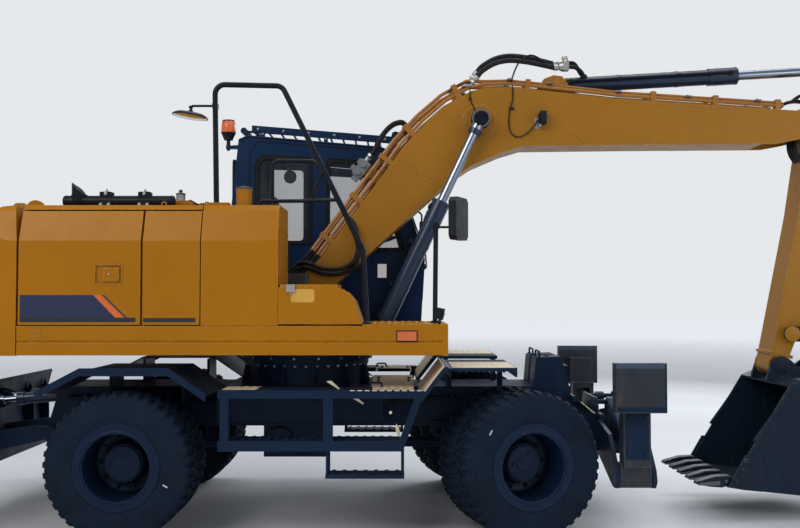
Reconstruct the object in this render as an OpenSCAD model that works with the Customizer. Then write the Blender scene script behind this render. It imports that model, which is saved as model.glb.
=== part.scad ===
// Wheeled excavator with slewing upper body, one-piece boom, rear blade and front outriggers.
// +X points forward, +Y to the machine's left, +Z up; the ground is Z = 0.
// Heights, and places along X, are measured from the slew axis at ground level.

/* [Wheels] */
// Outside diameter of a tyre over its lugs
tyre_d = 1055; // [980:5:1060]
// Width of one tyre
tyre_w = 275; // [230:5:285]
// Gap between the two tyres of a twin wheel
twin_gap = 45; // [30:5:60]
// Width over the outer tyres
track_out = 2500; // [2460:10:2560]
// Radius of the tyre's bead, where it sits on the rim
bead_r = 256; // [240:2:270]
// Place of the rear axle
rear_axle_x = -1210; // [-1240:5:-1180]
// Place of the front axle
front_axle_x = 1520; // [1500:5:1540]
// Distance of each kingpin inside the inner tyre's face
king_in = 55; // [45:1:65]
// Angle that the front wheels are steered to the left as it stands
steer_rest = 17; // [0:1:20]

/* [Chassis] */
// Width of the main frame box
frame_w = 640; // [560:10:660]
// Height of the frame's underside
frame_bot = 700; // [680:5:720]
// Height of the frame's top
frame_top = 1010; // [990:5:1020]
// Radius of the drum that carries the slew ring
drum_r = 480; // [440:5:500]
// Radius of the slew ring
ring_r = 540; // [520:5:570]
// Height of the fender decks
deck_z = 1193; // [1180:1:1200]
// Thickness of fender and step plates
sheet_t = 12; // [8:1:16]

/* [Upper body] */
// Height of the slewing frame's underside
upper_z = 1305; // [1300:1:1320]
// Height of the sill, where the doors begin
sill_z = 1515; // [1505:5:1530]
// Height of the fold where the sides start to lean in
fold_z = 2115; // [2090:5:2150]
// Height of the bodywork's flat top
body_top = 2375; // [2350:5:2400]
// Half of the bodywork's width
body_hw = 1220; // [1200:5:1230]
// Lean of the sides above the fold
lean_in = 75; // [50:5:110]
// Thickness of doors, hood and panels
door_t = 40; // [30:2:50]
// Gap round doors, lids and panels
door_gap = 8; // [6:1:12]
// Rear end of the counterweight
tail_x = -2400; // [-2450:10:-2350]
// Height of the right-hand tool box
box_top = 1806; // [1750:2:1840]

/* [Cab] */
// Right-hand wall of the cab
cab_y0 = 372; // [366:2:380]
// Left-hand wall of the cab
cab_y1 = 1235; // [1220:5:1240]
// Height of the cab's roof at its rear
cab_top = 3130; // [3110:5:3140]
// Thickness of the cab's walls and door
cab_t = 45; // [38:1:55]
// Thickness of the window glass
glass_t = 8; // [6:1:10]

/* [Boom and arm] */
// Width of the boom's box section
boom_w = 350; // [330:5:360]
// Width of the arm's box section
arm_w = 290; // [270:5:300]
// Bore of the boom cylinders' barrels, outside
boom_cyl_d = 132; // [120:2:140]
// Rod diameter of the boom cylinders
boom_rod_d = 75; // [60:1:85]
// Outside diameter of the arm cylinder
arm_cyl_d = 128; // [110:2:140]
// Rod diameter of the arm cylinder
arm_rod_d = 78; // [60:1:85]
// Outside diameter of the bucket cylinder
bucket_cyl_d = 116; // [100:2:125]
// Rod diameter of the bucket cylinder
bucket_rod_d = 68; // [55:1:75]

/* [Bucket] */
// Width of the bucket over its side plates
bucket_w = 1060; // [900:10:1100]
// Thickness of the bucket's plates
bucket_t = 20; // [14:1:26]
// Number of bucket teeth
tooth_count = 5; // [4:1:6]

/* [Hidden] */
$fn = 48;

// Distance from the slew axis to the middle of the whole machine's length
mid_x = 1115;
navy = [0.07, 0.10, 0.16];
ochre = [0.93, 0.60, 0.05];
steel = [0.75, 0.76, 0.78];
black = [0.05, 0.05, 0.055];
glass = [0.5, 0.6, 0.7, 0.4];

// Pins of the linkages, each as [x, z]
boom_pin = [30, 1760];
boom_cyl_base = [600, 1420];
boom_cyl_eye = [1420, 3150];
arm_pin = [4350, 3210];
arm_cyl_base = [2066, 3477];
arm_cyl_eye = [4690, 3630];
bucket_pin = [3850, 1170];
rocker_pin = [3930, 1420];
link_pin = rocker_pin + [480, 0];
bucket_link_pin = bucket_pin + 360 * [cos(6), -sin(6)];
arm_up = (arm_pin - bucket_pin) / norm(arm_pin - bucket_pin);
arm_out = [arm_up[1], -arm_up[0]];
bucket_cyl_base = bucket_pin + 1750 * arm_up + 330 * arm_out;
blade_pin = [-1990, 640];
blade_cyl_base = [-1935, 925];
blade_cyl_eye = [-2500, 880];
// Outrigger pins, each as [y outward, z]
leg_pin = [985, 400];
leg_cyl_base = [230, 880];
leg_cyl_eye = [885, 650];

fit = 0.05;
seat_gap = 0.3;
side_play = 6;
hub_z = tyre_d / 2;
twin_out = track_out / 2;
twin_in = twin_out - 2 * tyre_w - twin_gap;
kingpin_y = twin_in - king_in;
// Radius of the differentials, under the frame
diff_r = frame_bot - hub_z - 4;
// Y places of the rails and the silencer, off the bodywork's edge
rail_y = body_hw - 220;
silencer_y = body_hw - 300;

module place() translate([-mid_x, 0, 0]) children();

// A box from its extents
module box(x0, x1, y0, y1, z0, z1) {
  translate([x0, y0, z0]) cube([x1 - x0, y1 - y0, z1 - z0]);
}

// A plate whose outline lies in XZ, between two Y places
module slab(pts, y0, y1) {
  translate([0, y1, 0]) rotate([90, 0, 0]) linear_extrude(y1 - y0) polygon(pts);
}

// A plate whose outline lies in YZ, between two X places
module slab_x(pts, x0, x1) {
  translate([x0, 0, 0]) rotate([90, 0, 90]) linear_extrude(x1 - x0) polygon(pts);
}

// A round bar along Y at the pin [x, z]
module pin_y(p, y0, y1, r) {
  translate([p[0], y0, p[1]]) rotate([-90, 0, 0]) cylinder(h = y1 - y0, r = r);
}

// A round bar along X at [y, z]
module pin_x(p, x0, x1, r) {
  translate([x0, p[0], p[1]]) rotate([0, 90, 0]) cylinder(h = x1 - x0, r = r);
}

// A round bar between two points
module strut(p, q, r) {
  v = q - p;
  translate(p) rotate([0, acos(v[2] / norm(v)), atan2(v[1], v[0])]) cylinder(h = norm(v), r = r);
}

function unit(v) = v / norm(v);

// The points of a corner at q, rounded to the radius b
function bend(p, q, s, b) =
  let (u = unit(q - p), v = unit(s - q), a = acos(u * v), side = unit(v - (u * v) * u),
    c = q - u * b * tan(a / 2) + side * b)
  [for (j = [0:4]) c + b * (sin(a * j / 4) * u - cos(a * j / 4) * side)];

function rounded(pts, b) = [pts[0], for (i = [1:1:len(pts) - 2])
  each bend(pts[i - 1], pts[i], pts[i + 1], b), pts[len(pts) - 1]];

// A tube of radius r along points, its corners rounded to b; ref is no direction it runs in
module tube(pts, r, b, ref = [0, 1, 0], n = 8) {
  path = rounded(pts, b);
  m = len(path);
  dir = [for (i = [0:m - 1]) unit(path[min(i + 1, m - 1)] - path[max(i - 1, 0)])];
  ring = [for (i = [0:m - 1]) let (a = unit(cross(ref, dir[i])), c = cross(dir[i], a))
    for (j = [0:n - 1]) path[i] + r * (cos(360 * j / n) * a + sin(360 * j / n) * c)];
  polyhedron(ring, concat(
    [[for (j = [0:n - 1]) j]],
    [for (i = [0:m - 2]) for (j = [0:n - 1])
      [i * n + j, (i + 1) * n + j, (i + 1) * n + (j + 1) % n, i * n + (j + 1) % n]],
    [[for (j = [n - 1:-1:0]) (m - 1) * n + j]]));
}

// Both sides, or one: children are drawn on the left and mirrored to the right
module on_side(s) {
  if (s > 0) children();
  else mirror([0, 1, 0]) children();
}

module on_both() {
  on_side(1) children();
  on_side(-1) children();
}

// A cylinder's barrel from its base pin towards its eye, with the gland at its end
module cyl_barrel(base, eye, y, d, len_b, head_d, head_l, eye_r, eye_w, rod_d, pin_r) {
  a = atan2(eye[1] - base[1], eye[0] - base[0]);
  translate([base[0], y, base[1]]) rotate([0, 90 - a, 0]) difference() {
    union() {
      rotate([90, 0, 0]) cylinder(h = eye_w, r = eye_r, center = true);
      cylinder(h = eye_r + 25, d = min(d, eye_w) - 4);
      translate([0, 0, eye_r + 15]) cylinder(h = len_b - eye_r - 15, d = d);
      translate([0, 0, len_b - head_l]) cylinder(h = head_l, d = head_d);
    }
    rotate([90, 0, 0]) cylinder(h = eye_w + 60, r = pin_r + fit, center = true);
    translate([0, 0, eye_r + 40]) cylinder(h = len_b, d = rod_d + 2 * fit);
  }
}

// The matching rod, from inside the barrel to the eye
module cyl_rod(base, eye, y, rod_d, from_base, eye_r, eye_w, neck) {
  a = atan2(eye[1] - base[1], eye[0] - base[0]);
  l = norm(eye - base);
  translate([base[0], y, base[1]]) rotate([0, 90 - a, 0]) {
    translate([0, 0, from_base]) cylinder(h = l - eye_r * 0.8 - from_base, d = rod_d);
    translate([0, 0, l - eye_r - neck]) cylinder(h = neck + eye_r * 0.5, d = rod_d * 1.35);
    translate([0, 0, l]) rotate([90, 0, 0]) cylinder(h = eye_w, r = eye_r, center = true);
  }
}

/* Undercarriage */

module chassis() place() color(navy) {
  hw = frame_w / 2;
  difference() {
    union() {
      box(-1950, 2120, -hw, hw, frame_bot, frame_top);
      box(-640, 640, -560, 560, 765, frame_top);
      translate([0, 0, frame_top]) cylinder(h = 175, r = drum_r);
      translate([0, 0, frame_top + 175]) cylinder(h = 35, r = ring_r - 30);
      translate([0, 0, frame_top + 210]) cylinder(h = 40, r = ring_r);
      // Rear lugs of the blade
      for (s = [-1, 1])
        slab([[-1945, 560], [-2030, 560], [-2060, 640], [-2030, 700], [-1945, 980]],
          s * 260 - 30, s * 260 + 30);
      // Ears and pins of the blade's cylinders
      for (s = [-1, 1]) for (k = [-62, 62])
        slab([[-1880, frame_top - 10], [-1990, 960], [-1990, 890], [-1880, 880]],
          s * blade_cyl_y + k - 9, s * blade_cyl_y + k + 9);
      box(-1955, -1940, -290, 290, 560, frame_top - 10);
      // Front frame that carries the outriggers
      slab([[2115, 945], [2115, 560], [2230, 500], [2600, 500], [2640, 560],
        [2640, 800], [2290, 800], [2140, 945]], -430, 430);
    }
    // Bore for the blade's pins
    pin_y(blade_pin, -400, 400, 30 + fit);
    // Space for the outrigger cylinders
    box(2370, 2550, -700, 700, 520, 1000);
    // Recesses for the blade's cylinders
    for (s = [-1, 1]) box(-2000, -1880, s * blade_cyl_y - 53, s * blade_cyl_y + 53, 800, frame_top + 5);
    // Wells that clear the steered front tyres
    on_both() box(2110, 2330, 330, 500, 490, 900);
  }
  // Pins of the blade's cylinders
  for (s = [-1, 1]) pin_y(blade_cyl_base, s * blade_cyl_y - 71, s * blade_cyl_y + 71, 22);
  // Pins of the two outrigger cylinders
  for (s = [-1, 1]) pin_x([s * leg_cyl_base[0], leg_cyl_base[1]], 2330, 2590, 20);
  for (x = [2330, 2570]) slab_x([[-300, 780], [300, 780], [300, 850], [260, 915],
    [-260, 915], [-300, 850]], x, x + 20);
  // Plates that reach out to the outriggers' pivots
  on_both() for (x = [2315, 2580])
    difference() {
      slab_x([[430, 500], [430, 760], [800, 700], [1040, 470], [1055, 400], [1020, 345],
        [930, 345]], x, x + 30);
      pin_x(leg_pin, x - 10, x + 50, 32 + fit);
    }
  // Tie-down eyes
  on_both() for (x = [-1700, 1080])
    difference() {
      slab([[x - 70, frame_bot + 40], [x - 70, frame_bot - 50], [x - 30, frame_bot - 88],
        [x + 30, frame_bot - 88], [x + 70, frame_bot - 50], [x + 70, frame_bot + 40]],
        hw, hw + 30);
      pin_y([x, frame_bot - 40], hw - 10, hw + 40, 25);
    }
}

module axle_rear() place() color(navy) {
  c = [rear_axle_x, hub_z];
  pin_y(c, -twin_in + 30, twin_in - 30, 95);
  for (s = [-1, 1]) pin_y(c, s > 0 ? twin_in - 30 : -twin_in - 60, s > 0 ? twin_in + 60 : -twin_in + 30, 70);
  pin_y(c, -120, 120, diff_r);
  box(c[0] + 100, c[0] + 250, -70, 70, hub_z - 70, hub_z + 70);
  on_both() box(c[0] - 90, c[0] + 90, frame_w / 2 - 90, frame_w / 2 - 10, hub_z, frame_bot);
  on_both() pin_y(c, twin_in - 60, twin_in - 30, 130);
}

module axle_front() place() color(navy) {
  c = [front_axle_x, hub_z];
  lug = 112;
  bar = [tie_x, tie_z];
  difference() {
    union() {
      pin_y(c, 140 - kingpin_y, kingpin_y - 140, 88);
      // Steering cylinder ahead of the axle
      pin_y(bar, -190, 190, 44);
      for (y = [-150, 110]) box(c[0], tie_x, y, y + 40, tie_z - 24, tie_z + 24);
      pin_y(c, -120, 120, diff_r);
      box(c[0] - 250, c[0] - 100, -70, 70, hub_z - 70, hub_z + 70);
      box(c[0] - 90, c[0] + 90, -60, 60, hub_z + 100, frame_bot);
      on_both() {
        box(c[0] - 66, c[0] + 66, kingpin_y - 150, kingpin_y - 115, hub_z - 150, hub_z + 150);
        for (z = [hub_z + lug, hub_z - lug - 38]) {
          box(c[0] - 60, c[0] + 60, kingpin_y - 150, kingpin_y, z, z + 38);
          translate([c[0], kingpin_y, z]) cylinder(h = 38, r = 60);
        }
      }
    }
    on_both() translate([c[0], kingpin_y, hub_z - 200]) cylinder(h = 400, r = 32 + fit);
    pin_y(bar, -250, 250, tie_r + fit);
  }
}

module driveline() place() color(navy) {
  box(-330, 170, -170, 170, 430, frame_bot);
  translate([-200, 0, 0]) pin_y([0, 560], -215, 215, 110);
  back = rear_axle_x + 250 + seat_gap;
  front = front_axle_x - 250 - seat_gap;
  pin_x([0, hub_z], back, -330, 42);
  pin_x([0, hub_z], 170, front, 42);
}

// Steps, fenders and tool box of one side, drawn on the left
module guards() {
  y1 = track_out / 2;
  t = sheet_t;
  // Step frame beside the slew ring
  box(-500, 876, y1 - 60, y1, 1010, 1066);
  box(-500, 790, y1 - 60, y1, 644, 714);
  box(-485, -425, y1 - 60, y1, 714, 1010);
  box(235, 300, y1 - 60, y1, 714, 1010);
  slab([[740, 644], [790, 644], [918, 1000], [941, 1035], [876, 1066], [868, 1000]], y1 - 60, y1);
  box(-500, 850, y1 - 310, y1 - 60, 1066 - t, 1066);
  box(-500, 770, y1 - 240, y1 - 60, 714 - t, 714);
  for (x = [-485, 235]) box(x, x + 60, 545, y1 - 60, frame_top, 1054);
  // Hanging step
  box(250, 800, y1 - 190, y1 - 5, 455, 480);
  for (x = [262, 788]) for (y = [y1 - 40, y1 - 170]) strut([x, y, 480], [x, y, 702], 11);
  box(250, 275, y1 - 190, y1 - 60, 690, 714);
  box(775, 800, y1 - 190, y1 - 20, 690, 714);
  // Rear fender
  fender(t, 420, y1);
  fender(55, y1 - t, y1);
  for (x = [-1440, -890]) box(x, x + 20, frame_w / 2, 640, 900, deck_z - t / 2 - 2);
  for (x = [-1440, -890]) box(x, x + 20, 420, 640, deck_z - 30, deck_z);
  // Front deck, its slope and its legs
  box(1120, 1600, 240, 1150, 1204 - t, 1216);
  slab([[1130, 1216], [1087, 1235], [905, 1004], [925, 990], [1095, 1204]], 350, y1);
  for (x = [1140, 1545]) box(x, x + 40, 240, 300, frame_top, 1204 - t);
  slab([[876, 1060], [905, 1004], [945, 1030], [945, 1060]], y1 - 60, y1);
  // Tool box ahead of the front axle, with its handle
  slab([[1830, frame_top], [1850, 1235], [2050, 1245], [2115, frame_top]], 40, frame_w / 2 - 10);
  tube([[1880, 290, 1230], [1880, 290, 1285], [1880, 80, 1285], [1880, 80, 1230]], 8, 20, [1, 0, 0]);
}

// The fender's bent strip, th thick, between two Y places
module fender(th, y0, y1) {
  h = th / 2;
  slab([[-1780, 1030 + h], [-1470, deck_z + h], [-850, deck_z + h], [-589, 1017 + h],
    [-589, 1017 - h], [-850, deck_z - h], [-1470, deck_z - h], [-1780, 1030 - h]], y0, y1);
}

module guards_right() place() color(navy) on_side(-1) guards();

module guards_left() place() color(navy) on_side(1) guards();

// Steering, turned to the left by steer_rest about each kingpin
arm_len = 230;
tie_x = front_axle_x + arm_len * cos(steer_rest);
tie_z = hub_z - 53;
tie_r = 17;

module steered(s) {
  translate([front_axle_x, s * kingpin_y, 0]) rotate([0, 0, steer_rest])
    translate([-front_axle_x, -s * kingpin_y, 0]) children();
}

module knuckle(s) {
  steered(s) on_side(s) {
    c = [front_axle_x, hub_z];
    translate([c[0], kingpin_y, hub_z - 110]) cylinder(h = 220, r = 58);
    translate([c[0], kingpin_y, hub_z - 150]) cylinder(h = 300, r = 32);
    pin_y(c, kingpin_y, twin_in + 60, 70);
    box(c[0], c[0] + arm_len, kingpin_y - 28, kingpin_y + 28, hub_z - 95, hub_z - 73);
    translate([c[0] + arm_len, kingpin_y, hub_z - 95]) cylinder(h = 22, r = 34);
  }
}

module knuckle_right() place() color(navy) knuckle(-1);

module knuckle_left() place() color(navy) knuckle(1);

module tie_rod() place() color(navy) {
  off = arm_len * sin(steer_rest);
  pin_y([tie_x, tie_z], -kingpin_y + off, kingpin_y + off, tie_r);
  for (s = [-1, 1]) translate([tie_x, s * kingpin_y + off, tie_z - 19.5]) cylinder(h = 38, r = 30);
}

/* Wheels */

// Section of one tyre, from bead to tread, w wide
module tyre_ring(w) {
  r = tyre_d / 2;
  rotate_extrude($fn = 64) polygon([[bead_r, -w / 2 + 45], [bead_r + 50, -w / 2 + 14],
    [bead_r + 130, -w / 2], [r - 80, -w / 2 + 4], [r - 26, -w / 2 + 22], [r - 8, -w / 2 + 55],
    [r, 0], [r - 8, w / 2 - 55], [r - 26, w / 2 - 22], [r - 80, w / 2 - 4],
    [bead_r + 130, w / 2], [bead_r + 50, w / 2 - 14], [bead_r, w / 2 - 45]]);
}

// Wheel pieces are drawn at the left-hand wheel's centre line, with its axle along Y
module tyres_at(x) {
  for (k = [0, 1]) translate([x, twin_in + tyre_w / 2 + k * (tyre_w + twin_gap), hub_z])
    rotate([90, 0, 0]) tyre_ring(tyre_w);
}

module rims_at(x) {
  translate([x, 0, hub_z]) rotate([-90, 0, 0]) difference() {
    union() {
      // Rim tube and flanges of both wheels
      rotate_extrude($fn = 64) {
        for (k = [0, 1]) {
          y = twin_in + k * (tyre_w + twin_gap);
          translate([bead_r - 12 - seat_gap, y + 12]) square([12, tyre_w - 24]);
          translate([bead_r - 12 - seat_gap, y + 12]) square([46, 9]);
          translate([bead_r - 12 - seat_gap, y + tyre_w - 21]) square([46, 9]);
        }
        translate([bead_r - 16 - seat_gap, twin_in + 20]) square([10, 2 * tyre_w + twin_gap - 40]);
      }
      // Dished disc and planetary hub
      translate([0, 0, twin_in + tyre_w + 5]) cylinder(h = 24, r = bead_r - 10);
      translate([0, 0, twin_in + 10]) cylinder(h = tyre_w + 40, r = 150);
      translate([0, 0, twin_in + tyre_w + 25]) cylinder(h = 90, r1 = 165, r2 = 138, $fn = 48);
      translate([0, 0, twin_in + tyre_w + 115]) cylinder(h = 18, r = 130);
    }
    translate([0, 0, twin_in - 5]) cylinder(h = 66, r = 70 + fit);
    for (a = [0:120:240]) rotate([0, 0, a + 20]) translate([62, 0, twin_in + tyre_w + 121])
      cylinder(h = 40, r = 13);
    for (a = [0:36:359]) rotate([0, 0, a]) translate([205, 0, twin_in + tyre_w])
      cylinder(h = 60, r = 14);
  }
}

module tyres_front_right() place() color(black) steered(-1) on_side(-1) tyres_at(front_axle_x);
module tyres_front_left() place() color(black) steered(1) on_side(1) tyres_at(front_axle_x);
module tyres_rear_right() place() color(black) on_side(-1) tyres_at(rear_axle_x);
module tyres_rear_left() place() color(black) on_side(1) tyres_at(rear_axle_x);
module rims_front_right() place() color(navy) steered(-1) on_side(-1) rims_at(front_axle_x);
module rims_front_left() place() color(navy) steered(1) on_side(1) rims_at(front_axle_x);
module rims_rear_right() place() color(navy) on_side(-1) rims_at(rear_axle_x);
module rims_rear_left() place() color(navy) on_side(1) rims_at(rear_axle_x);

/* Upper body */

sill_x0 = -1920;
sill_x1 = 1108;
seam_1 = -1047;
seam_2 = -638;
tank_x = -89;
tank_y = 620;
// Y place, on the right, of the seam between the hood and the fixed strip
roof_seam = 720;
foot_y = boom_w / 2 + side_play;
// Y places of the cylinders of the boom and of the blade
boom_cyl_y = 276;
blade_cyl_y = 150;

// Underside of the cab
cab_z = 1420;

// The left sill between two x places, up to the height z
module sill(x0, x1, z) {
  slab_x([[body_hw - 60, upper_z], [body_hw, upper_z + 6], [body_hw, upper_z + 92],
    [body_hw - 10, upper_z + 100], [body_hw, upper_z + 108], [body_hw, z], [body_hw - 60, z]], x0, x1);
}

module upper_frame() place() color(ochre) {
  difference() {
    union() {
      translate([0, 0, frame_top + 250 + seat_gap]) cylinder(h = upper_z - frame_top - 250, r = ring_r - 25);
      box(sill_x0 - door_gap + seat_gap, 700, -body_hw + 60, body_hw - 60, upper_z, upper_z + 50);
      // Front deck on the right and the cab's base on the left
      box(700, sill_x1, -body_hw + 60, -360, upper_z, upper_z + 50);
      box(700, 1000, 365, body_hw - 60, upper_z, upper_z + 50);
      // Sills along both sides
      on_side(-1) sill(sill_x0, sill_x1, sill_z);
      on_side(1) sill(sill_x0, -712, sill_z);
      on_side(1) sill(-712, 1000, cab_z - seat_gap);
      box(sill_x1 - 40, sill_x1, -body_hw, -360, upper_z, sill_z);
      box(960, 1000, 365, body_hw, upper_z, sill_z - 60);
      box(505, sill_x1, -body_hw, -360, sill_z - 20, sill_z + 12);
      // Brackets of the boom's foot
      for (s = [-1, 1]) on_side(s)
        slab([[-420, upper_z + 50], [-420, 1420], [-100, 1850], [30, 1900], [130, 1860],
          [180, 1760], [160, 1640], [330, 1480], [700, 1440], [740, upper_z + 50]],
          foot_y, foot_y + 23);
      box(-420, -390, -foot_y, foot_y, upper_z + 50, 1420);
      // Brackets of the boom cylinders
      for (s = [-1, 1]) on_side(s)
        slab([[480, upper_z + 50], [520, 1450], [560, 1490], [640, 1490], [690, 1440],
          [700, upper_z + 50]], boom_cyl_y + 72, boom_cyl_y + 90);
    }
    pin_y(boom_pin, -400, 400, 45 + fit);
    pin_y(boom_cyl_base, -400, 400, 40 + fit);
  }
  // Pins of the boom cylinders
  for (s = [-1, 1]) on_side(s) pin_y(boom_cyl_base, foot_y, boom_cyl_y + 90, 40);
}

// Thickness of the hood and roof plates
roof_t = 35;

// A wall across the bodywork between two Y places; doors and skins lie against its edges
module bulkhead(x0, x1, y0, y1) intersection() {
  a = body_hw - 60 - seat_gap;
  b = body_hw - door_t - seat_gap;
  c = b - lean_in - 6;
  top = body_top - roof_t - seat_gap;
  slab_x([[-a, upper_z + 50 + seat_gap], [a, upper_z + 50 + seat_gap], [a, sill_z + seat_gap],
    [b, sill_z + seat_gap], [b, fold_z - 8], [c, top], [-c, top], [-b, fold_z - 8],
    [-b, sill_z + seat_gap], [-a, sill_z + seat_gap]], x0, x1);
  box(x0 - 1, x1 + 1, y0, y1, upper_z, body_top);
}

// A roof plate from the left-hand bevelled edge to y0
module roof_edge(x0, x1, y0) {
  slab_x([[y0, body_top - roof_t], [body_hw - lean_in - 6, body_top - roof_t],
    [body_hw - lean_in - 35, body_top], [y0, body_top]], x0, x1);
}

module counterweight() place() color(ochre) {
  r = 430;
  intersection() {
    // Plan with round rear corners
    translate([0, 0, upper_z]) linear_extrude(body_top - upper_z) difference() {
      union() {
        translate([tail_x + r, -body_hw]) square([sill_x0 - door_gap - tail_x - r, 2 * body_hw]);
        translate([tail_x, -body_hw + r]) square([sill_x0 - door_gap - tail_x, 2 * (body_hw - r)]);
        for (s = [-1, 1]) translate([tail_x + r, s * (body_hw - r)]) circle(r = r, $fn = 96);
      }
    }
    // Side view with the sloped top
    slab([[sill_x0 - door_gap, upper_z], [sill_x0 - door_gap, fold_z],
      [sill_x0 - door_gap - 45, body_top], [tail_x + 330, body_top - 10],
      [tail_x + 120, body_top - 130], [tail_x + 20, body_top - 330], [tail_x, fold_z - 180],
      [tail_x, upper_z + 150], [tail_x + 60, upper_z]], -body_hw - 10, body_hw + 10);
    // Rear view with the leaning sides
    slab_x(concat([[-body_hw, upper_z], [body_hw, upper_z]],
      [[body_hw, fold_z], [body_hw - lean_in, body_top - 40], [body_hw - lean_in - 35, body_top]],
      [[-body_hw + lean_in + 35, body_top], [-body_hw + lean_in, body_top - 40], [-body_hw, fold_z]]),
      tail_x - 10, sill_x0 + 10);
  }
  // Lifting eyes
  for (s = [-1, 1]) difference() {
    slab([[-2230, body_top - 60], [-2215, body_top + 20], [-2170, body_top + 62],
      [-2110, body_top + 62], [-2070, body_top + 20], [-2060, body_top - 30]],
      s * 620 - 20, s * 620 + 20);
    pin_y([-2140, body_top + 15], s * 620 - 40, s * 620 + 40, 26);
  }
}

// Engine as one block, and the valve block beside the boom's foot
module engine() place() color(steel) {
  box(-1760, -1180, -330, 560, 1440, 2080);
  box(-1700, -1240, -250, 480, upper_z + 50 + seat_gap, 1440);
  box(-210, 40, -580, -250, upper_z + 50 + seat_gap, 1900);
}

// A bodywork skin on one side: the outer profile less the same one moved in
module side_skin(x0, x1, t) {
  slab_x([[body_hw, sill_z + door_gap], [body_hw, fold_z],
    [body_hw - lean_in, body_top - 45], [body_hw - lean_in - t, body_top - 45],
    [body_hw - t, fold_z - 4], [body_hw - t, sill_z + door_gap]], x0, x1);
}

module fuel_tank() place() color(ochre) on_side(-1) {
  difference() {
    slab_x([[tank_y, sill_z + seat_gap], [body_hw, sill_z + seat_gap], [body_hw, fold_z],
      [body_hw - lean_in, body_top - 40], [body_hw - lean_in - 35, body_top], [tank_y, body_top]],
      seam_2 + door_gap, tank_x);
    // Panel line down to the sill
    box(seam_2, tank_x + 1, body_hw - 4, body_hw + 1, sill_z, sill_z + 4);
  }
  // Ribs of the front face
  for (y = [700:110:1100]) box(tank_x - 5, tank_x + 8, y, y + 30, 1830, 2200);
  // Filler neck and cap
  translate([-363, rail_y, body_top]) cylinder(h = 125, r = 57);
  translate([-363, rail_y, body_top + 125]) cylinder(h = 14, r = 50);
  box(-600, -120, tank_y + 40, 1100, upper_z + 50 + seat_gap, sill_z + seat_gap);
}

module tool_box() place() color(ochre) on_side(-1) {
  difference() {
    slab([[tank_x + 3, sill_z + 12 + seat_gap], [tank_x + 3, box_top - 20.3], [330, box_top - 20.3],
      [400, box_top - 60], [450, box_top - 120], [505, sill_z + 12 + seat_gap]], 760, body_hw);
    slab([[tank_x + 33, sill_z + 42], [tank_x + 33, box_top + 5], [310, box_top + 5],
      [375, box_top - 90], [420, box_top - 140], [460, sill_z + 42]], 790, body_hw - 30);
  }
}

module tool_box_lid() place() color(ochre) on_side(-1) {
  box(tank_x + 16, 330, 760, body_hw, box_top - 20, box_top);
  box(tank_x + 60, tank_x + 120, body_hw, body_hw + 12, box_top - 45, box_top - 6);
}

module hood() place() color(ochre) {
  x0 = sill_x0 + door_gap;
  x1 = seam_1 - door_gap;
  difference() {
    union() {
      roof_edge(x0, x1, -roof_seam + door_gap);
      slab_x([[-300, body_top - 5], [-250, body_top + 14], [600, body_top + 14], [650, body_top - 5]],
        x0 + 60, x1 - 60);
    }
    // Air grille slots
    for (x = [x0 + 140:60:x1 - 420]) box(x, x + 26, 140, 560, body_top - 60, body_top + 20);
  }
}

// Fixed panels: side panels ahead of the doors, roof plates and bulkheads
module panels() place() color(ochre) {
  on_side(-1) side_skin(seam_1 + door_gap, seam_2, door_t);
  on_side(1) side_skin(seam_1 + door_gap, -760, door_t);
  // Roof plates; the strip at the right carries the silencer
  on_side(-1) roof_edge(sill_x0 + door_gap, seam_1 + 5, roof_seam);
  on_side(-1) roof_edge(seam_1, seam_2, -340);
  on_side(1) roof_edge(seam_1, -760, 335);
  bulkhead(sill_x0 + door_gap, sill_x0 + door_gap + 24, -body_hw, body_hw);
  bulkhead(seam_1 - 30, seam_1 + 20, -body_hw, body_hw);
  bulkhead(seam_2 - 20, seam_2, -body_hw, 340);
  bulkhead(-780, -760, 320, body_hw);
  bulkhead(-780, seam_2, 320, 340);
  // Raised base of the pre-cleaner
  box(seam_1 + 50, seam_2 - 30, -760, -380, body_top, body_top + 45);
}

module side_door() {
  side_skin(sill_x0 + door_gap, seam_1 - door_gap, door_t);
}

module pump_door() place() color(ochre) on_side(-1) difference() {
  side_door();
  box(-1370, -1190, body_hw - 12, body_hw + 1, 1810, 1940);
}

module left_door() place() color(ochre) on_side(1) difference() {
  side_door();
  for (z = [1640:60:2000]) box(-1820, -1300, body_hw - 60, body_hw + 1, z, z + 28);
}

// Silencer lying on the right of the roof in two clamps, with its slant-cut outlet
module exhaust() place() color(black) on_side(-1) {
  y = silencer_y;
  z = body_top + 46;
  pin_x([y, z], -1690, -900, 42);
  for (x = [-1432, -1150]) {
    box(x, x + 90, y - 55, y + 55, body_top + seat_gap, body_top + 36);
    pin_x([y, z], x, x + 90, 45.5);
    box(x, x + 90, y - 32, y + 32, z, z + 66);
  }
  difference() {
    translate([-1588, y, z]) cylinder(h = 145, r = 56);
    translate([-1588, y, z + 44]) cylinder(h = 110, r = 50);
    slab([[-1660, z + 155], [-1500, z - 5], [-1500, z + 200], [-1660, z + 200]], y - 70, y + 70);
  }
}

// A foot plate under a rail at the point p
module foot(p) box(p[0] - 25, p[0] + 25, p[1] - 35, p[1] + 35, p[2] + seat_gap, p[2] + 8);

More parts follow.
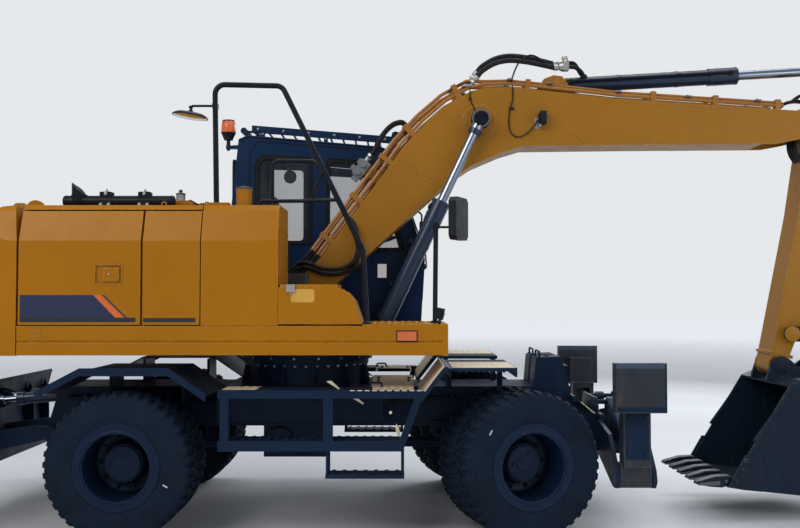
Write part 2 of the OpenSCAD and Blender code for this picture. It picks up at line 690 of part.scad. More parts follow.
// Tubes of the right side
module handrails() place() color(black) {
  y = -rail_y;
  // Places of the rails' lower ends, stepped out from the top ones
  lean = y - 150;
  end = y - 180;
  tube([[-565, y, body_top + 5], [-581, y, 3270], [-92, y, 3259], [507, lean, 2052],
    [537, end, sill_z + 17]], 20, 70);
  foot([-565, y, body_top]);
  foot([537, end, sill_z + 12]);
  tube([[-159, y, body_top + 5], [-159, y, 2710], [140, y - 15, 2706], [213, y - 75, 2640]], 14, 45);
  foot([-159, y, body_top]);
  tube([[-205, y, 2415], [20, y - 10, 2415], [322, y - 103, 2415]], 14, 90);
  tube([[131, y - 40, 2420], [214, y - 75, 2625]], 12, 10);
}

module mirrors() place() color(black) {
  // Front mirror on its post
  tube([[1027, -900, sill_z + 17], [1035, -900, 2263]], 18, 30);
  foot([1027, -900, sill_z + 12]);
  translate([1201, -960, 0]) rotate([0, 0, -24])
    slab_x([[-100, 2130], [100, 2130], [130, 2160], [130, 2418], [100, 2448], [-100, 2448],
      [-130, 2418], [-130, 2160]], -34, 34);
  tube([[1038, -890, 2240], [1060, -805, 2240], [1230, -795, 2240], [1256, -835, 2240]], 9, 20,
    [0, 0, 1]);
  // Round mirror at the top of the rail
  translate([-762, -rail_y, 3031]) rotate([0, -8, 0]) cylinder(h = 26, r = 130);
  tube([[-762, -rail_y, 3045], [-740, -rail_y, 3112], [-598.7, -rail_y, 3112]], 8, 25);
}

/* Cab */

roof_front = [600, 3030];

// Height of the roof at x
function roof_z(x) = cab_top - (x + 560) * (cab_top - roof_front[1]) / (roof_front[0] + 560);

module cab_solid(inset) {
  slab([[-700 + inset, cab_z + inset], [950 - inset, cab_z + inset], [985 - inset, 2050],
    [700 - inset * 1.2, 2985 - inset * 0.6], [roof_front[0] - inset, roof_front[1] - inset],
    [-560 + inset * 0.4, cab_top - inset], [-640 + inset, cab_top - 40 - inset * 0.5],
    [-700 + inset, 2500]], cab_y0 + inset, cab_y1 - inset);
}

door_x0 = -60;
door_x1 = 860;

// Opening for the door, in the left wall
function door_outline(g) = [[door_x0 + g, cab_z + 70 + g], [door_x1 - g, cab_z + 70 + g],
  [door_x1 + 20 - g, 2050], [door_x1 - 225 - g, 2920 - g], [door_x0 + g, 2980 - g]];

// Windows as [outline, first y, last y]
side_rear = [[-480, 2190], [-480, 2880], [-430, 2940], [-12, 2925], [-12, 2190]];
side_front = [[144, 2130], [144, 2915], [590, 2885], [800, 2130]];
left_rear = [[-620, 2240], [-620, 2500], [-570, 2960], [-140, 2950], [-140, 2240]];
rear_pane = [2330, 2920];
shield_y = 80;
hatch = [-380, 380];
hatch_y = 180;

module cab_shell() place() color(navy) {
  difference() {
    cab_solid(0);
    cab_solid(cab_t);
    for (w = [side_rear, side_front]) slab(w, cab_y0 - 5, cab_y0 + cab_t + 5);
    slab(left_rear, cab_y1 - cab_t - 5, cab_y1 + 5);
    box(-760, -600, cab_y0 + 110, cab_y1 - 110, rear_pane[0], rear_pane[1]);
    // Windshield
    slab([[860, 1700], [1010, 1700], [1010, 2050], [760, 2900], [620, 2900], [880, 2050]],
      cab_y0 + shield_y, cab_y1 - shield_y);
    slab(door_outline(0), cab_y1 - cab_t - 5, cab_y1 + 5);
    // Roof hatch
    box(hatch[0], hatch[1], cab_y0 + hatch_y, cab_y1 - hatch_y, cab_top - 150, cab_top + 5);
  }
  // Mounting pads under the floor
  for (x = [-600, 780]) for (y = [cab_y0 + 70, body_hw - 190])
    box(x, x + 120, y, y + 120, upper_z + 50 + seat_gap, cab_z);
  // Hinge knuckles of the door
  for (z = [1700, 2500]) {
    translate([door_x0, cab_y1 + 12, z]) cylinder(h = 60, r = 12);
    box(door_x0 - 60, door_x0, cab_y1 - 2, cab_y1 + 8, z, z + 60);
  }
}

module cab_glass() place() color(glass) {
  g = (cab_t - glass_t) / 2;
  for (w = [side_rear, side_front]) slab(w, cab_y0 + g, cab_y0 + g + glass_t);
  slab(left_rear, cab_y1 - g - glass_t, cab_y1 - g);
  box(-688, -680, cab_y0 + 110, cab_y1 - 110, rear_pane[0], rear_pane[1]);
  slab([[938, 1700], [947, 1700], [966.5, 2050], [708, 2900], [699, 2900], [958, 2050]],
    cab_y0 + shield_y, cab_y1 - shield_y);
  slab([[hatch[0], roof_z(hatch[0]) - 26], [hatch[0], roof_z(hatch[0]) - 18],
    [hatch[1], roof_z(hatch[1]) - 18], [hatch[1], roof_z(hatch[1]) - 26]],
    cab_y0 + hatch_y, cab_y1 - hatch_y);
}

door_top_pane = [[door_x0 + 60, 2100], [door_x0 + 60, 2900], [door_x1 - 280, 2870], [door_x1 - 60, 2100]];
door_low_pane = [[door_x0 + 60, 1580], [door_x0 + 60, 2020], [door_x1 - 70, 2020], [door_x1 - 70, 1580]];

module cab_door_glass() place() color(glass) {
  g = (cab_t - glass_t) / 2;
  for (w = [door_top_pane, door_low_pane]) slab(w, cab_y1 - g - glass_t, cab_y1 - g);
}

module cab_door() place() color(navy) {
  difference() {
    slab(door_outline(door_gap), cab_y1 - cab_t, cab_y1);
    for (w = [door_top_pane, door_low_pane]) slab(w, cab_y1 - cab_t - 5, cab_y1 + 5);
  }
  // Hinge knuckles above those of the cab
  for (z = [1760.3, 2560.3]) {
    translate([door_x0, cab_y1 + 12, z]) cylinder(h = 60, r = 12);
    box(door_x0, door_x0 + 60, cab_y1 - 2, cab_y1 + 8, z, z + 60);
  }
}

module seat() place() color(black) {
  y = (cab_y0 + cab_y1) / 2;
  floor_z = cab_z + cab_t;
  box(-330, 60, y - 180, y + 180, floor_z + seat_gap, floor_z + 330);
  box(-360, 120, y - 240, y + 240, floor_z + 330, floor_z + 450);
  slab([[-360, floor_z + 430], [-240, floor_z + 430], [-330, 2440], [-420, 2440]], y - 225, y + 225);
  slab([[-335, 2440], [-415, 2440], [-425, 2640], [-350, 2640]], y - 130, y + 130);
}

module controls() place() color(black) {
  y = (cab_y0 + cab_y1) / 2;
  floor_z = cab_z + cab_t;
  // Consoles beside the seat
  for (s = [-1, 1]) box(-300, 260, y + s * 310 - 60, y + s * 310 + 60, floor_z + seat_gap, floor_z + 560);
  for (s = [-1, 1]) strut([200, y + s * 310, floor_z + 555], [215, y + s * 310, floor_z + 760], 22);
  // Steering column and wheel
  box(690, 830, y - 70, y + 70, floor_z + seat_gap, floor_z + 30);
  strut([760, y, floor_z + 18], [560, y, floor_z + 720], 40);
  translate([556, y, floor_z + 735]) rotate([0, -16, 0]) cylinder(h = 30, r = 190);
  // Monitor on the right front
  box(430, 470, cab_y0 + cab_t + 20, cab_y0 + cab_t + 230, 2140, 2300);
  strut([450, cab_y0 + cab_t + 60, floor_z + seat_gap], [450, cab_y0 + cab_t + 60, 2145], 18);
}

// Height of the guard frame's top at x
function guard_z(x) = cab_top + 87 - (x + 524) * 0.0805;

module cab_guard() place() color(black) {
  for (y = [cab_y0, cab_y1 - 40])
    slab([[-524, guard_z(-524) - 58], [-524, guard_z(-524)], [718, guard_z(718)],
      [718, guard_z(718) - 58]], y, y + 40);
  for (x = [-521, 675]) box(x, x + 40, cab_y0 + 20, cab_y1 - 20, guard_z(x) - 52, guard_z(x) - 6);
  for (x = [-400:110:640]) pin_y([x, guard_z(x) - 25], cab_y0 + 20, cab_y1 - 20, 9);
  // Rear tube and its two straps
  pin_y([-596, cab_top + 42], cab_y0 + 10, cab_y1 - 10, 28);
  for (y = [cab_y0 + 60, cab_y1 - 100]) box(-596, -500, y, y + 40, cab_top + 34, cab_top + 50);
  // Supports on the roof
  for (x = [-445, 105, 550]) for (y = [cab_y0 + 6, cab_y1 - 34])
    slab([[x, roof_z(x) + seat_gap], [x, guard_z(x) - 40], [x + 34, guard_z(x) - 40],
      [x + 34, roof_z(x + 34) + seat_gap]], y, y + 28);
  // Warning beacon on a bracket behind the cab
  slab([[-760, 3020], [-647.5, 3020], [-644.4, 3050], [-760, 3050]], cab_y0 + 60, cab_y0 + 100);
  translate([-742, cab_y0 + 80, 3045]) cylinder(h = 60, r = 16);
  translate([-742, cab_y0 + 80, 3100]) cylinder(h = 62, r1 = 36, r2 = 62);
  translate([-742, cab_y0 + 80, 3162]) cylinder(h = 112, r1 = 62, r2 = 54);
}

/* Boom and arm */

// Outline of the boom's box: underside from foot to tip, then top from tip to foot
boom_low = [[-60, 1690], [30, 1640], [130, 1690], [260, 1838], [770, 2299], [1227, 2703], [1353, 2788],
  [1595, 2893], [1781, 2949], [2550, 2958], [3725, 2966], [3990, 3165], [4085, 3190]];
boom_top = [[4085, 3233], [4006, 3240], [2550, 3335], [1967, 3401], [1660, 3431], [1474, 3426],
  [1353, 3401], [1166, 3296], [980, 3135], [794, 2938], [608, 2683], [123, 2035], [-60, 1850]];

module boom() place() color(ochre) {
  hw = boom_w / 2;
  difference() {
    union() {
      slab(concat(boom_low, boom_top), -hw, hw);
      pin_y(boom_pin, -hw, hw, 125);
      // Fork at the tip
      on_both() slab([[3650, 2966], [3838, 2968], [4013, 3001], [4180, 3045], [4400, 3080], [4470, 3160],
        [4470, 3270], [4400, 3330], [4180, 3300], [4006, 3240], [3650, 3260]],
        arm_w / 2 + side_play, hw);
      on_both() pin_y(arm_pin, arm_w / 2 + side_play, hw + 12, 95);
      // Lugs of the arm cylinder
      on_both() slab([[1860, 3380], [1960, 3520], [2040, 3550], [2110, 3540], [2160, 3470],
        [2200, 3360]], arm_cyl_d / 2 + side_play, arm_cyl_d / 2 + side_play + 26);
      // Weld rings and bosses of the boom cylinders' pins
      pin_y(boom_cyl_eye, -hw - 8, hw + 8, 140);
      pin_y(boom_cyl_eye, -boom_cyl_y + 51, boom_cyl_y - 51, 78);
    }
    pin_y(arm_pin, -400, 400, 45 + fit);
  }
  pin_y(boom_pin, -foot_y - 42, foot_y + 42, 45);
  pin_y(arm_cyl_base, -arm_cyl_d / 2 - 32, arm_cyl_d / 2 + 32, 38);
}

// Direction along the boom's top after point i, and away from it
function top_dir(i) = unit(boom_top[i + 1] - boom_top[i]);
function outward(t) = [t[1], -t[0]];

// Clamps of the pipes, as [segment of the boom's top, share along it]
clamps = [[1, 0.1], [1, 0.45], [1, 0.8], [3, 0.5], [6, 0.5], [8, 0.5], [9, 0.5], [10, 0.3], [10, 0.8]];

// First point of the boom's top that lies on its rear slope
slope_i = 6;

// Pipes on each side, as [y, height over the boom's top, height over its rear slope]
pipe_rows = [[118, 64, 100], [150, 36, 38]];

// Steel pipes along the boom's top in their clamps
module boom_lines() place() color(ochre) {
  on_both() for (p = pipe_rows) tube([for (i = [1:11])
    let (b = i == 1 ? boom_top[1] + 100 * top_dir(1) : boom_top[i],
      q = b + p[i < slope_i ? 1 : 2] * unit(outward(top_dir(i - 1)) + outward(top_dir(i))))
    [q[0], p[0], q[1]]], 15, 60);
  for (c = clamps) {
    t = top_dir(c[0]);
    n = outward(t);
    m = boom_top[c[0]] + c[1] * (boom_top[c[0] + 1] - boom_top[c[0]]);
    top = c[0] < slope_i ? 84 : 120;
    on_both() slab([m + seat_gap * n - 20 * t, m + seat_gap * n + 20 * t, m + top * n + 20 * t,
      m + top * n - 20 * t], 98, 170);
  }
}

// A point of the arm, from its distance along and out of the line between its pins
function on_arm(p) = bucket_pin + p[0] * arm_up + p[1] * arm_out;

module arm() place() color(ochre) {
  hw = arm_w / 2;
  difference() {
    union() {
      slab([for (p = [[-56, -60], [-22, -82], [28, -82], [1229, -126], [1834, -176], [1950, -188],
        [2080, -188], [2200, -160], [2380, 20], [2720, 250], [2740, 420], [2560, 460], [2150, 330],
        [1750, 250], [313, 125], [207, 83], [54, 62], [-54, 62]]) on_arm(p)], -hw, hw);
      pin_y(bucket_pin, -hw, hw, 84);
      // Lugs of the bucket cylinder
      on_both() slab([for (p = [[1620, 200], [1900, 250], [1820, 372], [1750, 395], [1680, 350]])
        on_arm(p)], bucket_cyl_d / 2 + side_play, bucket_cyl_d / 2 + side_play + 26);
    }
    pin_y(bucket_pin, -400, 400, 40 + fit);
    // Slot for the arm cylinder's eye
    slab([for (p = [[2330, 90], [2420, 10], [2900, 10], [2900, 700], [2330, 700]]) on_arm(p)],
      -arm_rod_d * 0.675 - side_play, arm_rod_d * 0.675 + side_play);
  }
  pin_y(arm_pin, -hw - 45, hw + 45, 45);
  pin_y(bucket_cyl_base, -bucket_cyl_d / 2 - 34, bucket_cyl_d / 2 + 34, 35);
  // Pin of the rocker, and caps over the pin of the arm cylinder's eye
  pin_y(rocker_pin, -rocker_y - 34, rocker_y + 34, 35);
  on_both() pin_y(arm_cyl_eye, hw - 5, hw + 12, 55);
}

/* Bucket */

// Inner Y place of the bucket's ears and of the rocker's plates
ear_y = arm_w / 2 + side_play + 1;
rocker_y = ear_y + 42;

module bucket() place() color(navy) {
  hw = bucket_w / 2;
  t = bucket_t;
  // Side plates
  on_both() slab([[3435, 475], [3350, 330], [3290, 258], [3420, 236], [3870, 190], [4060, 182],
    [4260, 235], [4410, 370], [4475, 560], [4450, 760], [4336, 922], [4180, 1020], [4010, 1080],
    [3870, 1076], [3780, 1036]], hw - t, hw);
  // Floor, back and top in one bent plate
  slab([[3290, 258], [3420, 236], [3870, 190], [4060, 182], [4260, 235], [4410, 370], [4475, 560],
    [4450, 760], [4336, 922], [4180, 1020], [4010, 1080], [3870, 1076], [3780, 1036], [3790, 1016],
    [3876, 1052], [4004, 1056], [4168, 998], [4317, 906], [4426, 752], [4450, 562], [4390, 384],
    [4250, 257], [4058, 206], [3872, 214], [3422, 262]], -hw, hw);
  // Ears, with the ends of the link's pin
  on_both() difference() {
    union() {
      slab([[3729, 1047], [3783, 1208], [3820, 1232], [3870, 1238], [3920, 1215], [3998, 1150],
        [4080, 1140], [4150, 1190], [4208, 1200], [4262, 1170], [4275, 1100], [4240, 972], [4180, 1000],
        [4010, 1065], [3870, 1058], [3780, 1030]], ear_y, ear_y + 30);
      pin_y(bucket_link_pin, ear_y, ear_y + 36, 58);
    }
    pin_y(bucket_pin, -400, 400, 40 + fit);
  }
  pin_y(bucket_pin, -ear_y - 36, ear_y + 36, 40);
}

module bucket_teeth() place() color(navy) {
  reach = bucket_w / 2 - bucket_t - 50;
  for (i = [0:tooth_count - 1]) {
    y = -reach + i * 2 * reach / (tooth_count - 1);
    slab([[3060, 275], [3070, 292], [3200, 330], [3300, 335], [3380, 300], [3380, 261],
      [3290, 258.3], [3250, 248], [3150, 256]], y - 45, y + 45);
  }
}

module rocker() place() color(navy) on_both() {
  difference() {
    hull_bar(rocker_pin, link_pin, 62, 62, rocker_y, rocker_y + 26);
    pin_y(rocker_pin, -400, 400, 35 + fit);
  }
  pin_y(link_pin, 46, rocker_y + 32, 35);
}

// A flat bar between two pins, with a round end of its own radius at each
module hull_bar(p, q, r, end_r, y0, y1) {
  n = unit([-(q - p)[1], (q - p)[0]]);
  pin_y(p, y0, y1, r);
  pin_y(q, y0, y1, end_r);
  slab([p + r * n, q + end_r * n, q - end_r * n, p - r * n], y0, y1);
}

module link() place() color(navy) {
  on_both() difference() {
    hull_bar(link_pin, bucket_link_pin, 58, 44, 90, 140);
    pin_y(link_pin, -400, 400, 35 + fit);
  }
  on_both() pin_y(bucket_link_pin, 80, ear_y - side_play, 35);
  pin_y(link_pin + 0.76 * (bucket_link_pin - link_pin), -90, 90, 38);
}

/* Cylinders */

module boom_cyl_barrels() place() color(navy) for (s = [-1, 1])
  cyl_barrel(boom_cyl_base, boom_cyl_eye, s * boom_cyl_y, boom_cyl_d, 1173, boom_cyl_d + 14, 190, 59, 90,
    boom_rod_d, 40);

module boom_cyl_rods() place() color(steel) on_both() {
  cyl_rod(boom_cyl_base, boom_cyl_eye, boom_cyl_y, boom_rod_d, 900, 72, 90, 60);
  pin_y(boom_cyl_eye, boom_cyl_y, boom_cyl_y + 55, 44);
}

module arm_cyl_barrel() place() color(navy)
  cyl_barrel(arm_cyl_base, arm_cyl_eye, 0, arm_cyl_d, 1515, arm_cyl_d + 16, 240, 70, 110, arm_rod_d, 38);

module arm_cyl_rod() place() color(steel)
  cyl_rod(arm_cyl_base, arm_cyl_eye, 0, arm_rod_d, 1200, 70, 90, 60);

module bucket_cyl_barrel() place() color(navy)
  cyl_barrel(bucket_cyl_base, link_pin, 0, bucket_cyl_d, 960, bucket_cyl_d + 14, 180, 62, 90,
    bucket_rod_d, 35);

module bucket_cyl_rod() place() color(steel)
  cyl_rod(bucket_cyl_base, link_pin, 0, bucket_rod_d, 750, 60, 80, 50);

/* Blade */

module blade() place() color(navy) {
  difference() {
    union() {
      slab([[-2570, 350], [-2560, 420], [-2585, 560], [-2605, 700], [-2600, 860], [-2560, 1010],
        [-2600, 1020], [-2645, 870], [-2650, 700], [-2632, 560], [-2625, 440], [-2680, 350]],
        -track_out / 2, track_out / 2);
      for (s = [-1, 1])
        slab([[-1990, 585], [-2030, 595], [-2580, 470], [-2590, 640], [-2100, 700], [-1990, 695]],
          s * 330 - 34, s * 330 + 34);
      for (s = [-1, 1]) pin_y(blade_pin, s * 330 - 34, s * 330 + 34, 55);
      for (s = [-1, 1]) for (k = [-53, 53]) slab([[-2595, 780], [-2480, 840], [-2460, 880],
        [-2480, 920], [-2585, 950]], s * blade_cyl_y + k - 9, s * blade_cyl_y + k + 9);
    }
    pin_y(blade_pin, -400, 400, 29.9);
  }
  for (s = [-1, 1]) pin_y(blade_pin, s > 0 ? 231 : -364, s > 0 ? 364 : -231, 30);
}

module blade_cyl_barrels() place() color(navy) for (s = [-1, 1])
  cyl_barrel(blade_cyl_base, blade_cyl_eye, s * blade_cyl_y, 92, 390, 104, 60, 42, 70, 50, 22);

module blade_cyl_rods() place() color(steel) for (s = [-1, 1])
  cyl_rod(blade_cyl_base, blade_cyl_eye, s * blade_cyl_y, 50, 240, 38, 70, 30);

/* Outriggers */

module outrigger() {
  difference() {
    union() {
      box(2350, 2575, leg_pin[0] - 55, leg_pin[0] + 55, leg_pin[1] - 20, 520);
      pin_x(leg_pin, 2350, 2575, 58);
      box(2365, 2560, leg_pin[0] - 45, leg_pin[0] + 95, 500, 930);
      box(2270, 2640, leg_pin[0] + 175, leg_pin[0] + 235, 905, 1255);
      box(2365, 2560, leg_pin[0] + 20, leg_pin[0] + 175, 900, 1150);
    }
    // Room inside the leg for its cylinder
    box(2400, 2525, 700, leg_pin[0] + 60, 526, 880);
    pin_x(leg_pin, 2300, 2640, 31.9);
  }
  pin_x(leg_pin, 2316, 2609, 32);
}

module outrigger_right() place() color(navy) on_side(-1) outrigger();
module outrigger_left() place() color(navy) on_side(1) outrigger();

// The leg's cylinder lies across the machine, so it is drawn along X and turned
module leg_cyl(part) {
  d = leg_cyl_eye - leg_cyl_base;
  l = norm(d);
  translate([2462, leg_cyl_base[0], leg_cyl_base[1]]) rotate([0, 0, 90]) {
    if (part == "barrel") cyl_barrel([0, 0], [d[0], d[1]], 0, 84, 520, 94, 60, 38, 70, 46, 20);
    if (part == "rod") cyl_rod([0, 0], [d[0], d[1]], 0, 46, 260, 34, 60, 30);
  }
}

module leg_cyl_barrel_right() place() color(navy) on_side(-1) leg_cyl("barrel");
module leg_cyl_barrel_left() place() color(navy) on_side(1) leg_cyl("barrel");
module leg_cyl_rod_right() place() color(steel) on_side(-1) leg_cyl("rod");
module leg_cyl_rod_left() place() color(steel) on_side(1) leg_cyl("rod");

chassis();
axle_rear();
axle_front();
driveline();
guards_right();
guards_left();
knuckle_right();
knuckle_left();
tie_rod();
tyres_front_right();
tyres_front_left();
tyres_rear_right();
tyres_rear_left();
rims_front_right();
rims_front_left();
rims_rear_right();
rims_rear_left();
upper_frame();
counterweight();
engine();
fuel_tank();
tool_box();
tool_box_lid();
hood();
panels();
pump_door();
left_door();
exhaust();
handrails();
mirrors();
cab_shell();
cab_glass();
cab_door();
cab_door_glass();
seat();
controls();
cab_guard();
boom();
boom_lines();
arm();
bucket();
bucket_teeth();
rocker();
link();
boom_cyl_barrels();
boom_cyl_rods();
arm_cyl_barrel();
arm_cyl_rod();
bucket_cyl_barrel();
bucket_cyl_rod();
blade();
blade_cyl_barrels();
blade_cyl_rods();
outrigger_right();
outrigger_left();
leg_cyl_barrel_right();
leg_cyl_barrel_left();
leg_cyl_rod_right();
leg_cyl_rod_left();
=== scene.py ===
import math

import bmesh
import bpy
from mathutils import Matrix, Vector


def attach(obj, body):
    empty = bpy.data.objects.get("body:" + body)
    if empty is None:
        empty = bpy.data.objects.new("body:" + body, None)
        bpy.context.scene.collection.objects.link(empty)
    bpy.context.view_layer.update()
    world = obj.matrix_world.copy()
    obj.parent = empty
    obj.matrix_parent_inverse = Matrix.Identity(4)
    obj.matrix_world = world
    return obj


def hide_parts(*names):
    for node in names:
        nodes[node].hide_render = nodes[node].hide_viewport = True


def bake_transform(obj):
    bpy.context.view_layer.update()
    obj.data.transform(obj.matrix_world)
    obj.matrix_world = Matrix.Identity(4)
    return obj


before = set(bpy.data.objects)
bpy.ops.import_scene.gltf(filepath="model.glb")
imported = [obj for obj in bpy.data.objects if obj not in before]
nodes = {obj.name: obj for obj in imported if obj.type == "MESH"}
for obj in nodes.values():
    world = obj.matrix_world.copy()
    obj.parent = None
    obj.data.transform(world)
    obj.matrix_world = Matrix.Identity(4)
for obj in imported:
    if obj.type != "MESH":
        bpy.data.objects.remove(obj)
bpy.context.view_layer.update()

# Distance in mm from the slew axis to the middle of the machine; places below are in mm from the slew axis
MID = 1115.0


def v(x, y, z):
    return Vector(((x - MID) / 1000, y / 1000, z / 1000))


# Materials


class Nodes:
    """A small helper that adds shader nodes and links them."""

    def __init__(self, name):
        self.material = bpy.data.materials.new(name)
        self.material.use_nodes = True
        self.tree = self.material.node_tree
        self.tree.nodes.clear()
        self.coord = self.add("TexCoord").outputs["Object"]
        self.shader = self.add("BsdfPrincipled")
        out = self.add("OutputMaterial")
        self.link(self.shader.outputs[0], out.inputs[0])

    def add(self, kind, **values):
        node = self.tree.nodes.new("ShaderNode" + kind)
        for key, value in values.items():
            setattr(node, key, value)
        return node

    def link(self, a, b):
        self.tree.links.new(a, b)

    def put(self, socket, value):
        if isinstance(value, bpy.types.NodeSocket):
            self.link(value, socket)
        else:
            socket.default_value = value

    def noise(self, scale, detail=4.0, rough=0.55, stretch=None):
        at = self.coord
        if stretch:
            mapping = self.add("Mapping")
            mapping.inputs["Scale"].default_value = stretch
            self.link(at, mapping.inputs["Vector"])
            at = mapping.outputs[0]
        node = self.add("TexNoise")
        self.link(at, node.inputs["Vector"])
        node.inputs["Scale"].default_value = scale
        node.inputs["Detail"].default_value = detail
        node.inputs["Roughness"].default_value = rough
        return node.outputs["Fac"]

    def ramp(self, value, low, high, to_low=0.0, to_high=1.0):
        node = self.add("MapRange")
        self.put(node.inputs["Value"], value)
        for name, x in zip(("From Min", "From Max", "To Min", "To Max"), (low, high, to_low, to_high)):
            self.put(node.inputs[name], x)
        return node.outputs[0]

    def math(self, operation, a, b=0.0):
        node = self.add("Math", operation=operation)
        self.put(node.inputs[0], a)
        self.put(node.inputs[1], b)
        return node.outputs[0]

    def mix(self, factor, a, b):
        node = self.add("Mix", data_type="RGBA")
        self.put(node.inputs["Factor"], factor)
        self.put(node.inputs["A"], a)
        self.put(node.inputs["B"], b)
        return node.outputs["Result"]

    def height(self):
        node = self.add("SeparateXYZ")
        self.link(self.coord, node.inputs[0])
        return node.outputs["Z"]

    def upward(self):
        """1 where the surface faces up, 0 where it is upright or faces down."""
        coord = self.add("TexCoord")
        node = self.add("SeparateXYZ")
        self.link(coord.outputs["Normal"], node.inputs[0])
        return self.ramp(node.outputs["Z"], 0.25, 0.95)

    def edge(self, radius):
        """1 along outer edges and corners, 0 on flat faces."""
        bevel = self.add("Bevel", samples=4)
        bevel.inputs["Radius"].default_value = radius
        flat = self.add("NewGeometry")
        dot = self.add("VectorMath", operation="DOT_PRODUCT")
        self.link(bevel.outputs[0], dot.inputs[0])
        self.link(flat.outputs["Normal"], dot.inputs[1])
        return self.ramp(dot.outputs["Value"], 0.995, 0.88)

    def bump(self, parts, radius=0.0):
        """parts is a list of (height, distance); radius rounds the edges of the shading."""
        normal = None
        if radius:
            bevel = self.add("Bevel", samples=4)
            bevel.inputs["Radius"].default_value = radius
            normal = bevel.outputs[0]
        for height, distance in parts:
            node = self.add("Bump")
            node.inputs["Strength"].default_value = 1.0
            node.inputs["Distance"].default_value = distance
            self.link(height, node.inputs["Height"])
            if normal is not None:
                self.link(normal, node.inputs["Normal"])
            normal = node.outputs[0]
        self.link(normal, self.shader.inputs["Normal"])


def rgba(c, k=1.0):
    return (c[0] * k, c[1] * k, c[2] * k, 1.0)


def painted(
    name,
    colour,
    rough=0.38,
    dust=0.25,
    dust_colour=(0.20, 0.19, 0.17),
    mud=0.0,
    mud_top=1.0,
    wear_and_edge_highlight=0.25,
    wear_and_edge_highlight_colour=(0.30, 0.30, 0.30),
    radius=0.004,
    coat=0.25,
    dents=0.0012,
    vary=0.12,
    shine=0.35,
):
    n = Nodes(name)
    n.shader.inputs["Specular IOR Level"].default_value = shine
    patches = n.noise(1.3, 5.0)
    fine = n.noise(34.0, 8.0, 0.65)
    streaks = n.noise(1.0, 6.0, 0.6, (26.0, 26.0, 1.6))
    base = n.mix(n.ramp(patches, 0.3, 0.7), rgba(colour, 1 - vary), rgba(colour, 1 + vary))
    base = n.mix(n.math("MULTIPLY", n.ramp(streaks, 0.52, 0.75), 0.16), base, rgba(dust_colour))
    lying = n.math(
        "MULTIPLY", n.ramp(n.noise(7.0, 8.0, 0.7), 0.36, 0.66), n.math("MULTIPLY", n.upward(), dust)
    )
    base = n.mix(lying, base, rgba(dust_colour, 1.25))
    if mud:
        low = n.ramp(n.height(), mud_top, 0.2)
        spatter = n.ramp(n.noise(17.0, 9.0, 0.72), 0.47, 0.66)
        wash = n.ramp(n.noise(3.0, 6.0, 0.6), 0.35, 0.75)
        both = n.math("ADD", n.math("MULTIPLY", spatter, 0.65), n.math("MULTIPLY", wash, 0.35))
        base = n.mix(n.math("MULTIPLY", n.math("MULTIPLY", low, both), mud), base, rgba(dust_colour))
    # Colour along outer edges, broken by noise. Where it is grey (bucket, casting) it is real wear. On the
    # ochre and blue paints it is a lighter shade of the paint, a painted highlight along the edges.
    rubbed_and_highlit_edges = n.math("MULTIPLY", n.math("MULTIPLY", n.edge(0.010), n.ramp(fine, 0.42, 0.60)), wear_and_edge_highlight)
    base = n.mix(rubbed_and_highlit_edges, base, rgba(wear_and_edge_highlight_colour))
    n.link(base, n.shader.inputs["Base Color"])
    n.link(
        n.math(
            "ADD", n.ramp(n.noise(9.0, 6.0), 0.3, 0.7, rough - 0.07, rough + 0.09),
            n.math("MULTIPLY", lying, 0.3)
        ),
        n.shader.inputs["Roughness"]
    )
    n.shader.inputs["Coat Weight"].default_value = coat
    n.shader.inputs["Coat Roughness"].default_value = 0.14
    n.bump([(n.noise(2.2, 2.0), dents), (n.noise(420.0, 2.0), 0.00006)], radius)
    return n.material


# The edge colours of the ochre and blue paints below are lighter shades of each paint: painted highlights
# along the edges. The bucket's grey edge colour is real wear.
OCHRE = (0.395, 0.150, 0.0012)
NAVY = (0.0048, 0.0165, 0.044)

ochre = painted(
    "ochre", OCHRE, 0.36, dust=0.05, dust_colour=(0.34, 0.17, 0.03), coat=0.04, shine=0.16, wear_and_edge_highlight=0.40,
    wear_and_edge_highlight_colour=(0.74, 0.46, 0.13), vary=0.06
)
ochre_arm = painted(
    "ochre_arm", (0.345, 0.150, 0.010), 0.40, dust=0.12, dust_colour=(0.27, 0.19, 0.085), coat=0.04,
    shine=0.18, wear_and_edge_highlight=0.45, wear_and_edge_highlight_colour=(0.74, 0.52, 0.24), vary=0.09
)
pipe_ochre = painted(
    "pipe_ochre", (0.34, 0.125, 0.006), 0.42, dust=0.3, dust_colour=(0.20, 0.14, 0.07), wear_and_edge_highlight=0.4,
    wear_and_edge_highlight_colour=(0.6, 0.42, 0.2), radius=0.0015, vary=0.15
)
navy = painted(
    "navy", NAVY, 0.46, dust=0.20, dust_colour=(0.050, 0.058, 0.070), mud=0.22, coat=0.02, shine=0.12,
    wear_and_edge_highlight=0.30, wear_and_edge_highlight_colour=(0.055, 0.085, 0.13)
)
navy_wheel = painted(
    "navy_wheel", (0.0042, 0.0150, 0.042), 0.40, dust=0.06, dust_colour=(0.030, 0.042, 0.062), mud=0.12,
    coat=0.04, shine=0.12, wear_and_edge_highlight=0.30, wear_and_edge_highlight_colour=(0.05, 0.085, 0.14), radius=0.003
)
cab_blue = painted(
    "cab_blue", (0.0030, 0.0215, 0.068), 0.34, dust=0.06, dust_colour=(0.035, 0.055, 0.090), shine=0.12,
    wear_and_edge_highlight=0.25, wear_and_edge_highlight_colour=(0.04, 0.08, 0.14), coat=0.06, vary=0.08
)
cylinder_blue = painted(
    "cylinder_blue", (0.0075, 0.0240, 0.056), 0.32, dust=0.10, dust_colour=(0.050, 0.062, 0.080),
    shine=0.22, wear_and_edge_highlight=0.35, wear_and_edge_highlight_colour=(0.07, 0.10, 0.14), radius=0.002, coat=0.4
)
